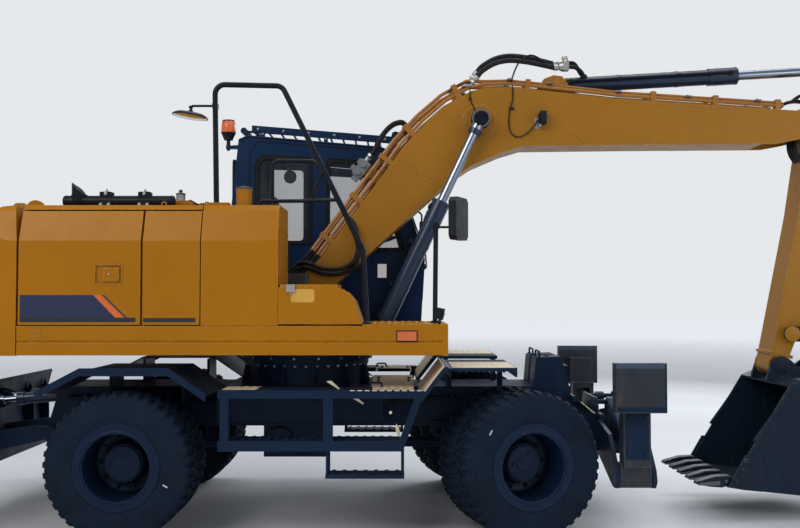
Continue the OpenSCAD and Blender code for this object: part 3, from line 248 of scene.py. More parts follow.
bucket_blue = painted(
    "bucket_blue", (0.0055, 0.0150, 0.031), 0.46, dust=0.25, dust_colour=(0.050, 0.056, 0.066), mud=0.20,
    coat=0.02, shine=0.14, mud_top=1.3, wear_and_edge_highlight=0.75, wear_and_edge_highlight_colour=(0.14, 0.145, 0.15), radius=0.003
)
black = painted(
    "black", (0.0036, 0.0062, 0.0125), 0.38, coat=0.03, dust=0.10, dust_colour=(0.036, 0.042, 0.054),
    shine=0.16, wear_and_edge_highlight=0.3, wear_and_edge_highlight_colour=(0.08, 0.085, 0.095), radius=0.0015
)
casting = painted(
    "casting", (0.045, 0.047, 0.050), 0.55, dust=0.5, dust_colour=(0.10, 0.095, 0.085), wear_and_edge_highlight=0.3,
    wear_and_edge_highlight_colour=(0.16, 0.16, 0.16), coat=0.0, vary=0.25
)


def worn_paint_and_top_highlight():
    """Navy paint on the outriggers' pads, scraped down to rusty steel in its middle, with a painted
    highlight: lighter blue on the tops above 1.22 m.
    """
    n = Nodes("worn_pad_and_top_highlight")
    base = n.mix(
        n.ramp(n.noise(4.0, 5.0), 0.3, 0.7), (0.0055, 0.0105, 0.021, 1), (0.0105, 0.017, 0.029, 1)
    )
    scrapes = n.ramp(n.noise(1.0, 9.0, 0.72, (26.0, 26.0, 11.0)), 0.50, 0.62)
    field = n.ramp(n.noise(3.4, 3.0), 0.42, 0.60)
    base = n.mix(
        n.math("MULTIPLY", n.math("MULTIPLY", scrapes, field), 0.75), base, (0.105, 0.064, 0.040, 1)
    )
    base = n.mix(n.math("MULTIPLY", n.edge(0.012), 0.5), base, (0.12, 0.12, 0.13, 1))
    # Lighter blue on the faces above 1.22 m, the outriggers' tops: a painted highlight.
    top = n.ramp(n.height(), 1.212, 1.222)
    base = n.mix(n.math("MULTIPLY", top, 0.8), base, (0.045, 0.075, 0.125, 1))
    n.link(base, n.shader.inputs["Base Color"])
    n.link(n.ramp(scrapes, 0.0, 1.0, 0.42, 0.75), n.shader.inputs["Roughness"])
    n.bump([(n.noise(60.0, 6.0, 0.7), 0.0008)], 0.004)
    return n.material


def metal(name, colour, rough, scratch=(8.0, 8.0, 8.0), metallic=1.0):
    n = Nodes(name)
    lines = n.noise(14.0, 8.0, 0.6, scratch)
    base = n.mix(n.ramp(lines, 0.35, 0.75), rgba(colour, 0.82), rgba(colour, 1.0))
    base = n.mix(
        n.math("MULTIPLY", n.ramp(n.noise(5.0, 7.0, 0.65), 0.55, 0.75), 0.25), base, rgba(colour, 0.45)
    )
    n.link(base, n.shader.inputs["Base Color"])
    n.link(n.ramp(lines, 0.3, 0.7, rough * 0.7, rough * 1.4), n.shader.inputs["Roughness"])
    n.shader.inputs["Metallic"].default_value = metallic
    n.bump([(lines, 0.00004)], 0.001)
    return n.material


def rubber(name, colour, rough=0.75, dust=0.35, dust_colour=(0.10, 0.10, 0.10), grain=260.0):
    n = Nodes(name)
    base = n.mix(n.ramp(n.noise(5.0, 6.0), 0.3, 0.7), rgba(colour, 0.75), rgba(colour, 1.3))
    spots = n.math("MULTIPLY", n.ramp(n.noise(22.0, 9.0, 0.75), 0.42, 0.66), dust)
    base = n.mix(spots, base, rgba(dust_colour))
    n.link(base, n.shader.inputs["Base Color"])
    n.link(n.ramp(spots, 0.0, 0.4, rough - 0.12, rough + 0.12), n.shader.inputs["Roughness"])
    n.shader.inputs["Specular IOR Level"].default_value = 0.12
    n.bump([(n.noise(grain, 3.0), 0.0002), (n.noise(18.0, 5.0), 0.0006)])
    return n.material


def glazing(name, colour, clear, rough=0.03):
    """Tinted glass: clear face on, and a mirror at grazing angles, with a film of dust."""
    n = Nodes(name)
    film = n.ramp(n.noise(2.6, 4.0, 0.5), 0.35, 0.8)
    n.link(
        n.mix(n.math("MULTIPLY", film, 0.2), rgba(colour), (0.30, 0.31, 0.32, 1)),
        n.shader.inputs["Base Color"]
    )
    facing = n.add("LayerWeight")
    facing.inputs["Blend"].default_value = 0.35
    solid = n.ramp(facing.outputs["Fresnel"], 0.05, 0.8, 1 - clear, 0.95)
    n.link(n.math("ADD", solid, n.math("MULTIPLY", film, 0.05)), n.shader.inputs["Alpha"])
    n.link(n.ramp(film, 0.0, 1.0, rough, rough + 0.04), n.shader.inputs["Roughness"])
    n.shader.inputs["Specular IOR Level"].default_value = 0.6
    n.bump([(n.noise(1.2, 2.0), 0.0006)])
    return n.material


def plastic(name, colour, rough=0.5, grain=700.0, depth=0.00012, glow=0.0):
    n = Nodes(name)
    base = n.mix(n.ramp(n.noise(6.0, 5.0), 0.3, 0.7), rgba(colour, 0.88), rgba(colour, 1.1))
    # A lighter shade of the plastic along every edge, unbroken: a painted highlight along the edges.
    base = n.mix(
        n.math("MULTIPLY", n.edge(0.004), 0.35), base, rgba([min(1.0, c * 1.8 + 0.012) for c in colour])
    )
    n.link(base, n.shader.inputs["Base Color"])
    n.shader.inputs["Specular IOR Level"].default_value = 0.2
    n.link(n.ramp(n.noise(12.0, 6.0), 0.3, 0.7, rough - 0.06, rough + 0.08), n.shader.inputs["Roughness"])
    n.bump([(n.noise(grain, 3.0), depth)], 0.002)
    if glow:
        n.link(base, n.shader.inputs["Emission Color"])
        n.shader.inputs["Emission Strength"].default_value = glow
    return n.material


def lens(name, colour, rough=0.12):
    """Ribbed coloured lens of a lamp or reflector."""
    n = Nodes(name)
    wave = n.add("TexWave", bands_direction="Z")
    n.link(n.coord, wave.inputs["Vector"])
    wave.inputs["Scale"].default_value = 34.0
    base = n.mix(n.ramp(n.noise(9.0, 5.0), 0.3, 0.7), rgba(colour, 0.8), rgba(colour, 1.15))
    n.link(base, n.shader.inputs["Base Color"])
    n.link(n.ramp(n.noise(30.0, 5.0), 0.3, 0.7, rough, rough + 0.12), n.shader.inputs["Roughness"])
    n.shader.inputs["Coat Weight"].default_value = 0.6
    n.shader.inputs["Subsurface Weight"].default_value = 0.15
    n.bump([(wave.outputs["Fac"], 0.0012)])
    return n.material


def cloth(name, colour, weave=900.0):
    n = Nodes(name)
    at = n.add("TexVoronoi")
    n.link(n.coord, at.inputs["Vector"])
    at.inputs["Scale"].default_value = weave
    base = n.mix(n.ramp(n.noise(14.0, 6.0), 0.3, 0.7), rgba(colour, 0.8), rgba(colour, 1.2))
    base = n.mix(n.ramp(at.outputs["Distance"], 0.2, 0.7), rgba(colour, 0.6), base)
    n.link(base, n.shader.inputs["Base Color"])
    n.shader.inputs["Roughness"].default_value = 0.85
    n.shader.inputs["Sheen Weight"].default_value = 0.35
    n.bump([(at.outputs["Distance"], 0.0004), (n.noise(9.0, 3.0), 0.001)])
    return n.material


def flat_film(name, colour, rough=0.35):
    """A stuck-on film: even colour with faint scuffs and dirt at its edges."""
    n = Nodes(name)
    scuffs = n.ramp(n.noise(40.0, 8.0, 0.7), 0.58, 0.75)
    base = n.mix(n.ramp(n.noise(3.0, 4.0), 0.3, 0.7), rgba(colour, 0.9), rgba(colour, 1.1))
    base = n.mix(n.math("MULTIPLY", scuffs, 0.18), base, rgba([c * 0.5 + 0.12 for c in colour]))
    n.link(base, n.shader.inputs["Base Color"])
    n.link(n.ramp(scuffs, 0.0, 1.0, rough, rough + 0.25), n.shader.inputs["Roughness"])
    n.bump([(n.noise(260.0, 3.0), 0.00005)])
    return n.material


pad_worn_and_top_highlight = worn_paint_and_top_highlight()
chrome = metal("chrome", (0.30, 0.34, 0.41), 0.16, (60.0, 60.0, 3.0))
steel = metal("steel", (0.36, 0.37, 0.39), 0.35)
zinc = metal("zinc", (0.50, 0.49, 0.46), 0.42)
cast_grey = metal("cast_grey", (0.22, 0.235, 0.26), 0.55, (8.0, 8.0, 8.0), 0.4)
mirror_face = metal("mirror_face", (0.80, 0.82, 0.85), 0.03, (2.0, 2.0, 2.0))
# The tyres' rubber and the dust on it are tinted blue: a painted reflection of the sky.
tyre_rubber_painted_sky_tint = rubber("tyre_rubber_painted_sky_tint", (0.0055, 0.0125, 0.0255), 0.82, 0.40, (0.017, 0.030, 0.052))
hose_rubber = rubber("hose_rubber", (0.012, 0.012, 0.014), 0.5, 0.25, (0.07, 0.07, 0.07))
seal_rubber = rubber("seal_rubber", (0.010, 0.010, 0.012), 0.62, 0.15, (0.06, 0.06, 0.06))
glass = glazing("glass", (0.055, 0.085, 0.12), 0.80)
lamp_glass = glazing("lamp_glass", (0.50, 0.52, 0.55), 0.45, 0.06)
trim = plastic("trim", (0.0085, 0.0110, 0.0175), 0.55)
grey_trim = plastic("grey_trim", (0.075, 0.080, 0.090), 0.58)
cab_liner = plastic("cab_liner", (0.10, 0.105, 0.115), 0.65)
amber = lens("amber", (0.80, 0.13, 0.012))
amber_flat = lens("amber_flat", (0.72, 0.14, 0.014), 0.2)
bowl = glazing("bowl", (0.35, 0.36, 0.38), 0.35, 0.12)
seat_cloth = cloth("seat_cloth", (0.050, 0.055, 0.065))
seat_side = cloth("seat_side", (0.022, 0.024, 0.028), 1400.0)
band_navy = flat_film("band_navy", (0.010, 0.019, 0.062))
band_orange = flat_film("band_orange", (0.72, 0.135, 0.014))
band_black = flat_film("band_black", (0.012, 0.014, 0.018))
plate_white = flat_film("plate_white", (0.62, 0.63, 0.64))
plate_yellow = flat_film("plate_yellow", (0.66, 0.36, 0.05))
chalk = flat_film("chalk", (0.60, 0.62, 0.64), 0.9)
screen = plastic("screen", (0.40, 0.50, 0.60), 0.2, glow=0.25)
red_plastic = plastic("red_plastic", (0.50, 0.055, 0.020), 0.4)

# Finishes of the carried-over nodes

FINISH = {
    ochre: [
        "upper_frame", "counterweight", "fuel_tank", "tool_box", "tool_box_lid", "hood", "panels",
        "pump_door", "left_door"
    ],
    ochre_arm: ["boom", "arm"],
    pipe_ochre: ["boom_lines"],
    navy: [
        "chassis", "axle_rear", "axle_front", "driveline", "guards_right", "guards_left",
        "knuckle_right", "knuckle_left", "tie_rod", "blade"
    ],
    navy_wheel: ["rims_front_right", "rims_front_left", "rims_rear_right", "rims_rear_left"],
    cab_blue: ["cab_shell", "cab_door", "cab_guard"],
    cylinder_blue: [
        "boom_cyl_barrels", "arm_cyl_barrel", "bucket_cyl_barrel", "blade_cyl_barrels",
        "leg_cyl_barrel_right", "leg_cyl_barrel_left"
    ],
    chrome: [
        "boom_cyl_rods", "arm_cyl_rod", "bucket_cyl_rod", "blade_cyl_rods", "leg_cyl_rod_right",
        "leg_cyl_rod_left"
    ],
    bucket_blue: ["bucket", "bucket_teeth", "rocker", "link"],
    pad_worn_and_top_highlight: ["outrigger_right", "outrigger_left"],
    casting: ["engine"],
    black: ["exhaust", "handrails", "mirrors"],
    glass: ["cab_glass", "cab_door_glass"],
    seat_side: ["seat"],
    trim: ["controls"],
    tyre_rubber_painted_sky_tint: ["tyres_front_right", "tyres_front_left", "tyres_rear_right", "tyres_rear_left"]
}
for finish, names in FINISH.items():
    for name in names:
        nodes[name].data.materials.clear()
        nodes[name].data.materials.append(finish)

# Camera, light and floor

camera_data = bpy.data.cameras.new("camera")
camera = bpy.data.objects.new("camera", camera_data)
bpy.context.scene.collection.objects.link(camera)
bpy.context.scene.camera = camera
IMAGE_W = 800
FOCAL_PX = 958.0
HORIZON_DROP_PX = 33.0
camera_data.sensor_width = 36.0
camera_data.lens = FOCAL_PX / IMAGE_W * camera_data.sensor_width
camera_data.clip_end = 200.0
camera.location = v(770, -7950, 1718)
camera.rotation_euler = (math.radians(90) + math.atan(HORIZON_DROP_PX / FOCAL_PX), 0, 0)


def area(name, place, aim, size, power, colour):
    data = bpy.data.lights.new(name, "AREA")
    data.shape = "RECTANGLE"
    data.size, data.size_y = size
    data.energy = power
    data.color = colour
    light = bpy.data.objects.new(name, data)
    bpy.context.scene.collection.objects.link(light)
    light.location = Vector(place)
    light.rotation_euler = (Vector(aim) - Vector(place)).to_track_quat("-Z", "Y").to_euler()


area("key", (-7.0, -9.0, 8.5), (0, 0, 1.4), (7, 5), 560, (1.0, 0.97, 0.93))
area("top", (0.5, 1.0, 10.0), (0, 0, 1.0), (9, 6), 430, (0.96, 0.98, 1.0))
area("rim", (6.0, 9.0, 6.0), (0, 0, 1.5), (7, 4), 430, (0.95, 0.97, 1.0))
area("fill", (8.0, -7.5, 3.5), (0.5, 0, 1.2), (6, 4), 150, (0.92, 0.96, 1.0))

world = bpy.data.worlds.new("world")
bpy.context.scene.world = world
world.use_nodes = True
world.node_tree.nodes.clear()


def world_node(kind):
    return world.node_tree.nodes.new("ShaderNode" + kind)


soft = world_node("Background")
soft.inputs["Color"].default_value = (0.80, 0.86, 0.95, 1)
soft.inputs["Strength"].default_value = 0.46
seen = world_node("Background")
seen.inputs["Color"].default_value = (0.86, 0.88, 0.90, 1)
seen.inputs["Strength"].default_value = 0.92
path = world_node("LightPath")
chosen = world_node("MixShader")
world_out = world_node("OutputWorld")
either = world_node("Math")
either.operation = "MAXIMUM"
links = world.node_tree.links
links.new(path.outputs["Is Camera Ray"], either.inputs[0])
links.new(path.outputs["Is Transmission Ray"], either.inputs[1])
links.new(either.outputs[0], chosen.inputs[0])
links.new(soft.outputs[0], chosen.inputs[1])
links.new(seen.outputs[0], chosen.inputs[2])
links.new(chosen.outputs[0], world_out.inputs[0])
bpy.context.scene.view_settings.view_transform = "Standard"

floor_look = Nodes("floor_look")
floor_tone = floor_look.mix(
    floor_look.ramp(floor_look.noise(0.7, 6.0), 0.3, 0.7), (0.66, 0.67, 0.69, 1), (0.73, 0.74, 0.76, 1)
)
floor_look.link(floor_tone, floor_look.shader.inputs["Base Color"])
floor_look.shader.inputs["Roughness"].default_value = 0.6
floor_look.shader.inputs["Emission Color"].default_value = (0.86, 0.88, 0.90, 1)
far = floor_look.add("VectorMath", operation="LENGTH")
floor_look.link(floor_look.coord, far.inputs[0])
FADE_FROM, FADE_TO, FADE_GLOW = 6.0, 34.0, 0.60
floor_look.link(
    floor_look.ramp(far.outputs["Value"], FADE_FROM, FADE_TO, 0.0, FADE_GLOW),
    floor_look.shader.inputs["Emission Strength"]
)
floor_look.bump([(floor_look.noise(60.0, 5.0), 0.0015)])
floor_mesh = bpy.data.meshes.new("floor")
FLOOR_HALF = 60.0
floor_mesh.from_pydata(
    [(x * FLOOR_HALF, y * FLOOR_HALF, 0) for x, y in ((-1, -1), (1, -1), (1, 1), (-1, 1))],
    [], [(0, 1, 2, 3)]
)
floor_mesh.materials.append(floor_look.material)
floor = bpy.data.objects.new("floor", floor_mesh)
bpy.context.scene.collection.objects.link(floor)


# Mesh building

UP = (0, 0, 1)
LEFT = (0, 1, 0)
AHEAD = (1, 0, 0)


def turns(n, shift=0.0):
    """Angles of n even steps round a circle, moved on by shift steps."""
    return [2 * math.pi * (k + shift) / n for k in range(n)]


def circle(centre, r, a, b, n):
    """n points round the centre, in the plane of the directions a and b."""
    return [centre + r * (math.cos(t) * a + math.sin(t) * b) for t in turns(n)]


def rounded(points, radius, steps=6):
    """Points of a polyline in mm with its corners turned into arcs."""
    pts = [Vector(p) for p in points]
    out = [pts[0]]
    for p, q, s in zip(pts, pts[1:], pts[2:]):
        u, w = (q - p).normalized(), (s - q).normalized()
        angle = u.angle(w)
        if angle < 0.01:
            out.append(q)
            continue
        side = (w - u * u.dot(w)).normalized()
        centre = q - u * radius * math.tan(angle / 2) + side * radius
        for j in range(steps + 1):
            t = angle * j / steps
            out.append(centre + radius * (math.sin(t) * u - math.cos(t) * side))
    out.append(pts[-1])
    return out


def spline(points, steps=6):
    """A smooth curve through the points, which are in mm."""
    pts = [Vector(p) for p in points]
    ends = [2 * pts[0] - pts[1]] + pts + [2 * pts[-1] - pts[-2]]
    out = []
    for a, b, c, d in zip(ends, ends[1:], ends[2:], ends[3:]):
        for j in range(steps):
            t = j / steps
            square = (2 * a - 5 * b + 4 * c - d) * t * t
            cube = (3 * b - a - 3 * c + d) * t**3
            out.append(0.5 * (2 * b + (c - a) * t + square + cube))
    return out + [pts[-1]]


class Piece:
    """One piece of the scene, gathered from simple solids; all places are in mm from the slew axis."""

    def __init__(self):
        self.bm = bmesh.new()

    def ring(self, points):
        return [self.bm.verts.new(v(*p)) for p in points]

    def skin(self, rings, closed=True, caps=True):
        n = len(rings[0])
        faces = []
        for a, b in zip(rings, rings[1:]):
            for i in range(n if closed else n - 1):
                j = (i + 1) % n
                faces.append(self.bm.faces.new((a[i], a[j], b[j], b[i])))
        if caps:
            faces.append(self.bm.faces.new(list(reversed(rings[0]))))
            faces.append(self.bm.faces.new(rings[-1]))
        return faces

    def soften(self, faces, radius, segments=2):
        if radius:
            edges = list({e for f in faces for e in f.edges})
            sharp = [e for e in edges if len(e.link_faces) == 2 and e.calc_face_angle(0.0) > 0.5]
            bmesh.ops.bevel(
                self.bm, geom=sharp, offset=radius / 1000, segments=segments, affect="EDGES",
                clamp_overlap=True, profile=0.5
            )
        return self

    def box(self, x0, x1, y0, y1, z0, z1, r=0.0):
        lower = self.ring([(x0, y0, z0), (x1, y0, z0), (x1, y1, z0), (x0, y1, z0)])
        upper = self.ring([(x0, y0, z1), (x1, y0, z1), (x1, y1, z1), (x0, y1, z1)])
        return self.soften(self.skin([lower, upper]), r)

    def slab(self, outline, y0, y1, r=0.0):
        """A plate whose outline is in x and z."""
        rings = [self.ring([(x, y, z) for x, z in outline]) for y in (y0, y1)]
        return self.soften(self.skin(rings), r)

    def section(self, outline, x0, x1, r=0.0):
        """A plate whose outline is in y and z."""
        rings = [self.ring([(x, y, z) for y, z in outline]) for x in (x0, x1)]
        return self.soften(self.skin(rings), r)

    def lathe(self, profile, start, axis, n=32, closed=False):
        """profile holds (distance along axis, radius) from the point start."""
        axis = Vector(axis).normalized()
        side = axis.orthogonal().normalized()
        other = axis.cross(side)
        rings = [
            self.ring(circle(Vector(start) + axis * d, max(r, 0.01), side, other, n)) for d, r in profile
        ]
        if closed:
            rings.append(rings[0])
        self.skin(rings, caps=not closed)
        return self

    def rod(self, p, q, r, n=20, edge=0.0):
        length = (Vector(q) - Vector(p)).length
        e = edge
        profile = [(0, r - e), (e, r), (length - e, r), (length, r - e)] if e else [(0, r), (length, r)]
        return self.lathe(profile, p, Vector(q) - Vector(p), n)

    def nut(self, p, axis, size, height):
        """A hexagon head on its washer."""
        self.lathe([(0, size * 0.66), (height * 0.2, size * 0.66)], p, axis, 16)
        top = Vector(p) + Vector(axis).normalized() * height * 0.2
        self.lathe(
            [(0, size * 0.57), (height * 0.65, size * 0.57), (height * 0.8, size * 0.48)], top, axis, 6
        )
        return self

    def sweep(self, points, r, n=12):
        """A tube along points; r is one radius, or one for each point."""
        pts = [Vector(p) for p in points]
        radii = r if isinstance(r, (list, tuple)) else [r] * len(pts)
        tangent = [
            (pts[min(i + 1, len(pts) - 1)] - pts[max(i - 1, 0)]).normalized() for i in range(len(pts))
        ]
        side = tangent[0].orthogonal().normalized()
        rings = []
        for p, t, radius in zip(pts, tangent, radii):
            side = (side - t * side.dot(t)).normalized()
            other = t.cross(side)
            rings.append(self.ring(circle(p, radius, side, other, n)))
        self.skin(rings)
        return self

    def turned(self, centre, degrees, axis):
        """Turns everything so far about an axis through centre."""
        bmesh.ops.rotate(
            self.bm, cent=v(*centre), matrix=Matrix.Rotation(math.radians(degrees), 3, Vector(axis)),
            verts=self.bm.verts[:]
        )
        return self

    def done(self, name, look, body, slot=None, smooth=32.0, replaces=()):
        bmesh.ops.recalc_face_normals(self.bm, faces=self.bm.faces[:])
        mesh = bpy.data.meshes.new(name)
        self.bm.to_mesh(mesh)
        self.bm.free()
        mesh.polygons.foreach_set("use_smooth", [True] * len(mesh.polygons))
        mesh.set_sharp_from_angle(angle=math.radians(smooth))
        mesh.materials.append(look)
        obj = bpy.data.objects.new(name, mesh)
        bpy.context.scene.collection.objects.link(obj)
        if isinstance(body, tuple):
            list(body)
            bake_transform(obj)
        else:
            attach(obj, body)
        if replaces:
            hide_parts(*replaces)
        return obj


# Wheels

TYRE_R = 527.5
TYRE_W = 275
TWIN_GAP = 45
TRACK_OUT = 2500
HUB_Z = TYRE_R
TWIN_IN = TRACK_OUT / 2 - 2 * TYRE_W - TWIN_GAP
FRONT_X = 1520
REAR_X = -1210
KINGPIN_Y = 600
STEER = 17
LUGS = 42
LUG_H = 15

# Half of the carcass section as (distance from the middle, radius), from the middle to the bead
CARCASS = [(0, 513), (45, 512), (85, 509), (112, 502), (124, 492), (131, 474), (134, 450), (136.5, 425)]
CARCASS += [
    (137.4, 400), (137, 380), (135.5, 366), (136.4, 362), (135, 357), (132, 340), (128, 325), (124, 314)
]
CARCASS += [(126, 310), (123, 305), (118, 296), (112, 275), (100, 258), (92, 256.5)]


def wheel_point(x, y, r, angle):
    return (x + r * math.sin(angle), y, HUB_Z + r * math.cos(angle))


def tread_block(piece, x, mid, angle, path, half, skew):
    """One block of the tread. path holds (y, radius under it, height) across the tyre."""
    rings = []
    for y, r, h in path:
        shift = skew * abs(y) / 100
        low = [angle + shift - half, angle + shift + half]
        top = [angle + shift + half * 0.80, angle + shift - half * 0.80]
        out = min(1.0, max(0.0, (abs(y) - 110) / 24))
        dy = math.copysign(out * h, y)
        dr = (1 - out) * h + out * h * 0.25
        rings.append(
            piece.ring(
                [wheel_point(x, mid + y, r - 3, a) for a in low] + [
                    wheel_point(x, mid + y + dy, r + dr, a) for a in top
                ]
            )
        )
    piece.skin(rings)


def tyre(piece, x, mid):
    n = 120
    profile = [(y, r) for y, r in reversed(CARCASS)] + [(-y, r) for y, r in CARCASS[1:]]
    piece.lathe(profile, (x, mid, HUB_Z), LEFT, n, closed=True)
    step = 2 * math.pi / LUGS
    for i in range(LUGS):
        for s in (-1, 1):
            a = i * step + (step / 2 if s > 0 else 0)
            long = i % 2 == 0
            shoulder = [(62, 511, LUG_H), (92, 508, LUG_H), (114, 501, 13), (125, 490, 8)]
            shoulder += [(131.5, 472, 5), (134.5, 449, 3)] if long else [(130, 479, 5)]
            tread_block(piece, x, mid, a, [(s * y, r, h) for y, r, h in shoulder], step * 0.30, 0.035)
            inner = [(8, 513, LUG_H - 1), (52, 511.5, LUG_H - 1)]
            tread_block(
                piece, x, mid, a + step * 0.42, [(s * y, r, h) for y, r, h in inner], step * 0.33, -0.05
            )


def wheel(name, x, side, steered):
    body = "wheel_" + name
    outer = TWIN_IN + TYRE_W + TWIN_GAP
    angle = STEER if steered else 0
    centre = (x, side * KINGPIN_Y, HUB_Z)

    def place(piece):
        if side < 0:
            for vert in piece.bm.verts:
                vert.co.y = -vert.co.y
        return piece.turned(centre, angle, UP)

    tyres = Piece()
    for start in (TWIN_IN, outer):
        tyre(tyres, x, start + TYRE_W / 2)
    place(tyres).done("tyres_" + name + "_tread", tyre_rubber_painted_sky_tint, body, "tyre", 24, ("tyres_" + name,))

    # Flange rings beside the beads, the outer one with its lock ring
    rim = Piece()
    for y0, s in ((TWIN_IN, -1), (TWIN_IN + TYRE_W, 1), (outer, -1), (outer + TYRE_W, 1)):
        flange = [
            (0, 250), (-6, 262), (-12, 286), (-11, 300), (-5, 306), (1, 304), (1, 296), (-4, 270),
            (5, 250)
        ]
        rim.lathe([(s * (d - 10), r) for d, r in flange], (x, y0, HUB_Z), LEFT, 72, closed=True)
    rim.lathe(
        [(0, 244), (0, 236), (-26, 233), (-26, 243)], (x, outer + TYRE_W - 12, HUB_Z), LEFT, 72,
        closed=True
    )
    # Dish between the rim and the hub, with its stud ring
    face = TWIN_IN + TYRE_W + 29
    dish = [(0, 160), (3, 178), (14, 196), (16, 212), (12, 226), (0, 239)]
    rim.lathe(
        [(d, r) for d, r in dish] + [(d - 5, r) for d, r in reversed(dish)], (x, face, HUB_Z), LEFT, 72,
        closed=True
    )
    place(rim).done("rim_rings_" + name, navy_wheel, body, "wheel_paint", 40)

    studs = Piece()
    hub_face = TWIN_IN + TYRE_W + 133
    for t in turns(10, 0.5):
        p = wheel_point(x, face + 1, 184, t)
        studs.nut(p, LEFT, 27, 26)
        studs.rod(p, (p[0], p[1] + 36, p[2]), 9, 10, 2)
    for t in turns(12):
        studs.nut(wheel_point(x, hub_face, 117, t), LEFT, 14, 10)
    stem = wheel_point(x, outer + TYRE_W - 60, 228, 0.6)
    studs.sweep(
        spline([stem, (stem[0], stem[1] + 30, stem[2]), wheel_point(x, outer + TYRE_W - 8, 236, 0.6)]), 5,
        8
    )
    place(studs).done("studs_" + name, navy_wheel, body, "wheel_paint", 30)

    hub = Piece()
    cap = [(0, 126), (5, 127), (9, 124), (11, 104), (11, 60), (16, 56), (17, 40), (17, 0)]
    hub.lathe(cap, (x, hub_face - 1, HUB_Z), LEFT, 48)
    for t in turns(3):
        p = wheel_point(x, hub_face + 9, 78, t + 0.5)
        hub.lathe([(0, 15), (6, 15), (8, 12), (4, 8), (4, 0)], p, LEFT, 18)
    place(hub).done("hub_cap_" + name, navy_wheel, body, "wheel_paint", 35)

    if side < 0:
        mark = Piece()
        t = -0.955 if steered else 1.9
        a = wheel_point(x, outer + TYRE_W + 0.4, 414 if steered else 352, t)
        b = wheel_point(x, outer + TYRE_W + 0.9, 420 if steered else 388, t + (0.09 if steered else 0.02))
        wide = Vector((b[2] - a[2], 0, a[0] - b[0])).normalized() * 5
        corners = [Vector(a) + wide, Vector(b) + wide, Vector(b) - wide, Vector(a) - wide]
        mark.skin([mark.ring(corners), mark.ring([c + Vector((0, 0.6, 0)) for c in corners])])
        place(mark).done("chalk_mark_" + name, chalk, body)


for name, x, side, steered in (
    ("rear_right", REAR_X, -1, False), ("rear_left", REAR_X, 1, False),
    ("front_right", FRONT_X, -1, True), ("front_left", FRONT_X, 1, True)
):
    wheel(name, x, side, steered)

# Upper body: films, latches, lamps and fittings of the sides

SIDE_Y = 1220
TOP_Z = 2375
SILL_Z = 1515


def film(name, outline, look, body, side=-1, lift=0.0, slot="ochre_paint"):
    """A thin film on the upright side of the body, with its outline in x and z."""
    y0 = SIDE_Y + 0.2 + lift
    y1 = y0 + 0.7
    Piece().slab(outline, side * y0, side * y1).done(name, look, body, slot)


for side, tag, door, x_end in ((-1, "right", "pump_door", -666), (1, "left", "left_door", -772)):
    film(
        "band_" + tag, [(-1900, 1574), (-1900, 1732), (-1384, 1732), (-1229, 1574)], band_navy, door,
        side, slot="navy_paint"
    )
    film(
        "stripe_wide_" + tag, [(-1384, 1732), (-1334, 1732), (-1172, 1574), (-1229, 1574)], band_orange,
        door, side
    )
    film(
        "stripe_dark_" + tag, [(-1322, 1732), (-1308, 1732), (-1146, 1574), (-1160, 1574)], band_navy,
        door, side
    )
    film(
        "line_" + tag, [(-1900, 1541), (-1900, 1573.5), (-1086, 1573.5), (-1086, 1541)], band_black, door,
        side
    )
    film(
        "line_front_" + tag, [(-1032, 1541), (-1032, 1570), (x_end, 1570), (x_end, 1541)], band_black,
        "upper", side
    )

# Latch on the right door, with lip, paddle and lock, and a plain latch on the left one
latch = Piece()
y = -SIDE_Y
for x0, x1, z0, z1 in (
    (-1378, -1182, 1940, 1947), (-1378, -1182, 1803, 1810), (-1378, -1370, 1810, 1940),
    (-1190, -1182, 1810, 1940)
):
    latch.box(x0, x1, y - 3, y + 2, z0, z1, 1.2)
latch.box(-1322, -1202, y + 3, y + 12, 1826, 1926, 3)
latch.box(-1318, -1206, y + 0.5, y + 6, 1832, 1920, 4)
latch.lathe([(0, 13), (3, 13), (4, 11), (4, 4), (2, 4), (2, 0)], (-1276, y + 1, 1876), (0, -1, 0), 24)
latch.done("door_latch", ochre, "pump_door", "ochre_paint")
lock = Piece()
lock.lathe([(0, 7), (3, 7), (4, 5), (4, 0)], (-1276, -SIDE_Y - 2.5, 1876), (0, -1, 0), 20)
lock.done("door_lock", zinc, "pump_door", "black_paint")
left_latch = Piece()
left_latch.box(-1200, -1090, SIDE_Y - 1, SIDE_Y + 5, 1850, 1930, 3)
left_latch.lathe([(0, 12), (4, 12), (5, 9), (5, 0)], (-1145, SIDE_Y + 4, 1890), LEFT, 24)
left_latch.done("left_door_latch", ochre, "left_door", "ochre_paint")

# Round drain covers in the sills, reflectors and a blank plate
cover = Piece()
for side in (-1, 1):
    y = side * (SIDE_Y + 0.3)
    cover.lathe([(-1, 39), (2.5, 39), (3.5, 36), (1.5, 33), (1.2, 0)], (-1787, y, 1455), (0, side, 0), 40)
    for k in (-1, 0, 1):
        cover.box(
            -1787 - 22 + abs(k) * 6, -1787 + 22 - abs(k) * 6, *sorted((y, y + side * 4)), 1452 + k * 15,
            1458 + k * 15, 1
        )
cover.done("sill_covers", ochre, "upper", "ochre_paint")

for side, tag, x0, x1 in ((-1, "right", 752, 886), (1, "left", 700, 834)):
    y = side * SIDE_Y
    frame_ring = Piece()
    frame_ring.box(x0 - 7, x1 + 7, *sorted((y + side * 0.3, y + side * 5)), 1405, 1483, 3)
    frame_ring.done("reflector_base_" + tag, trim, "upper", "black_paint")
    face = Piece()
    face.box(x0, x1, *sorted((y + side * 3, y + side * 10)), 1412, 1476, 3.5)
    for k in range(6):
        x = x0 + 12 + k * (x1 - x0 - 24) / 5
        face.rod((x, y + side * 9.3, 1417), (x, y + side * 9.3, 1471), 2.4, 8)
    face.done("reflector_" + tag, amber_flat, "upper")

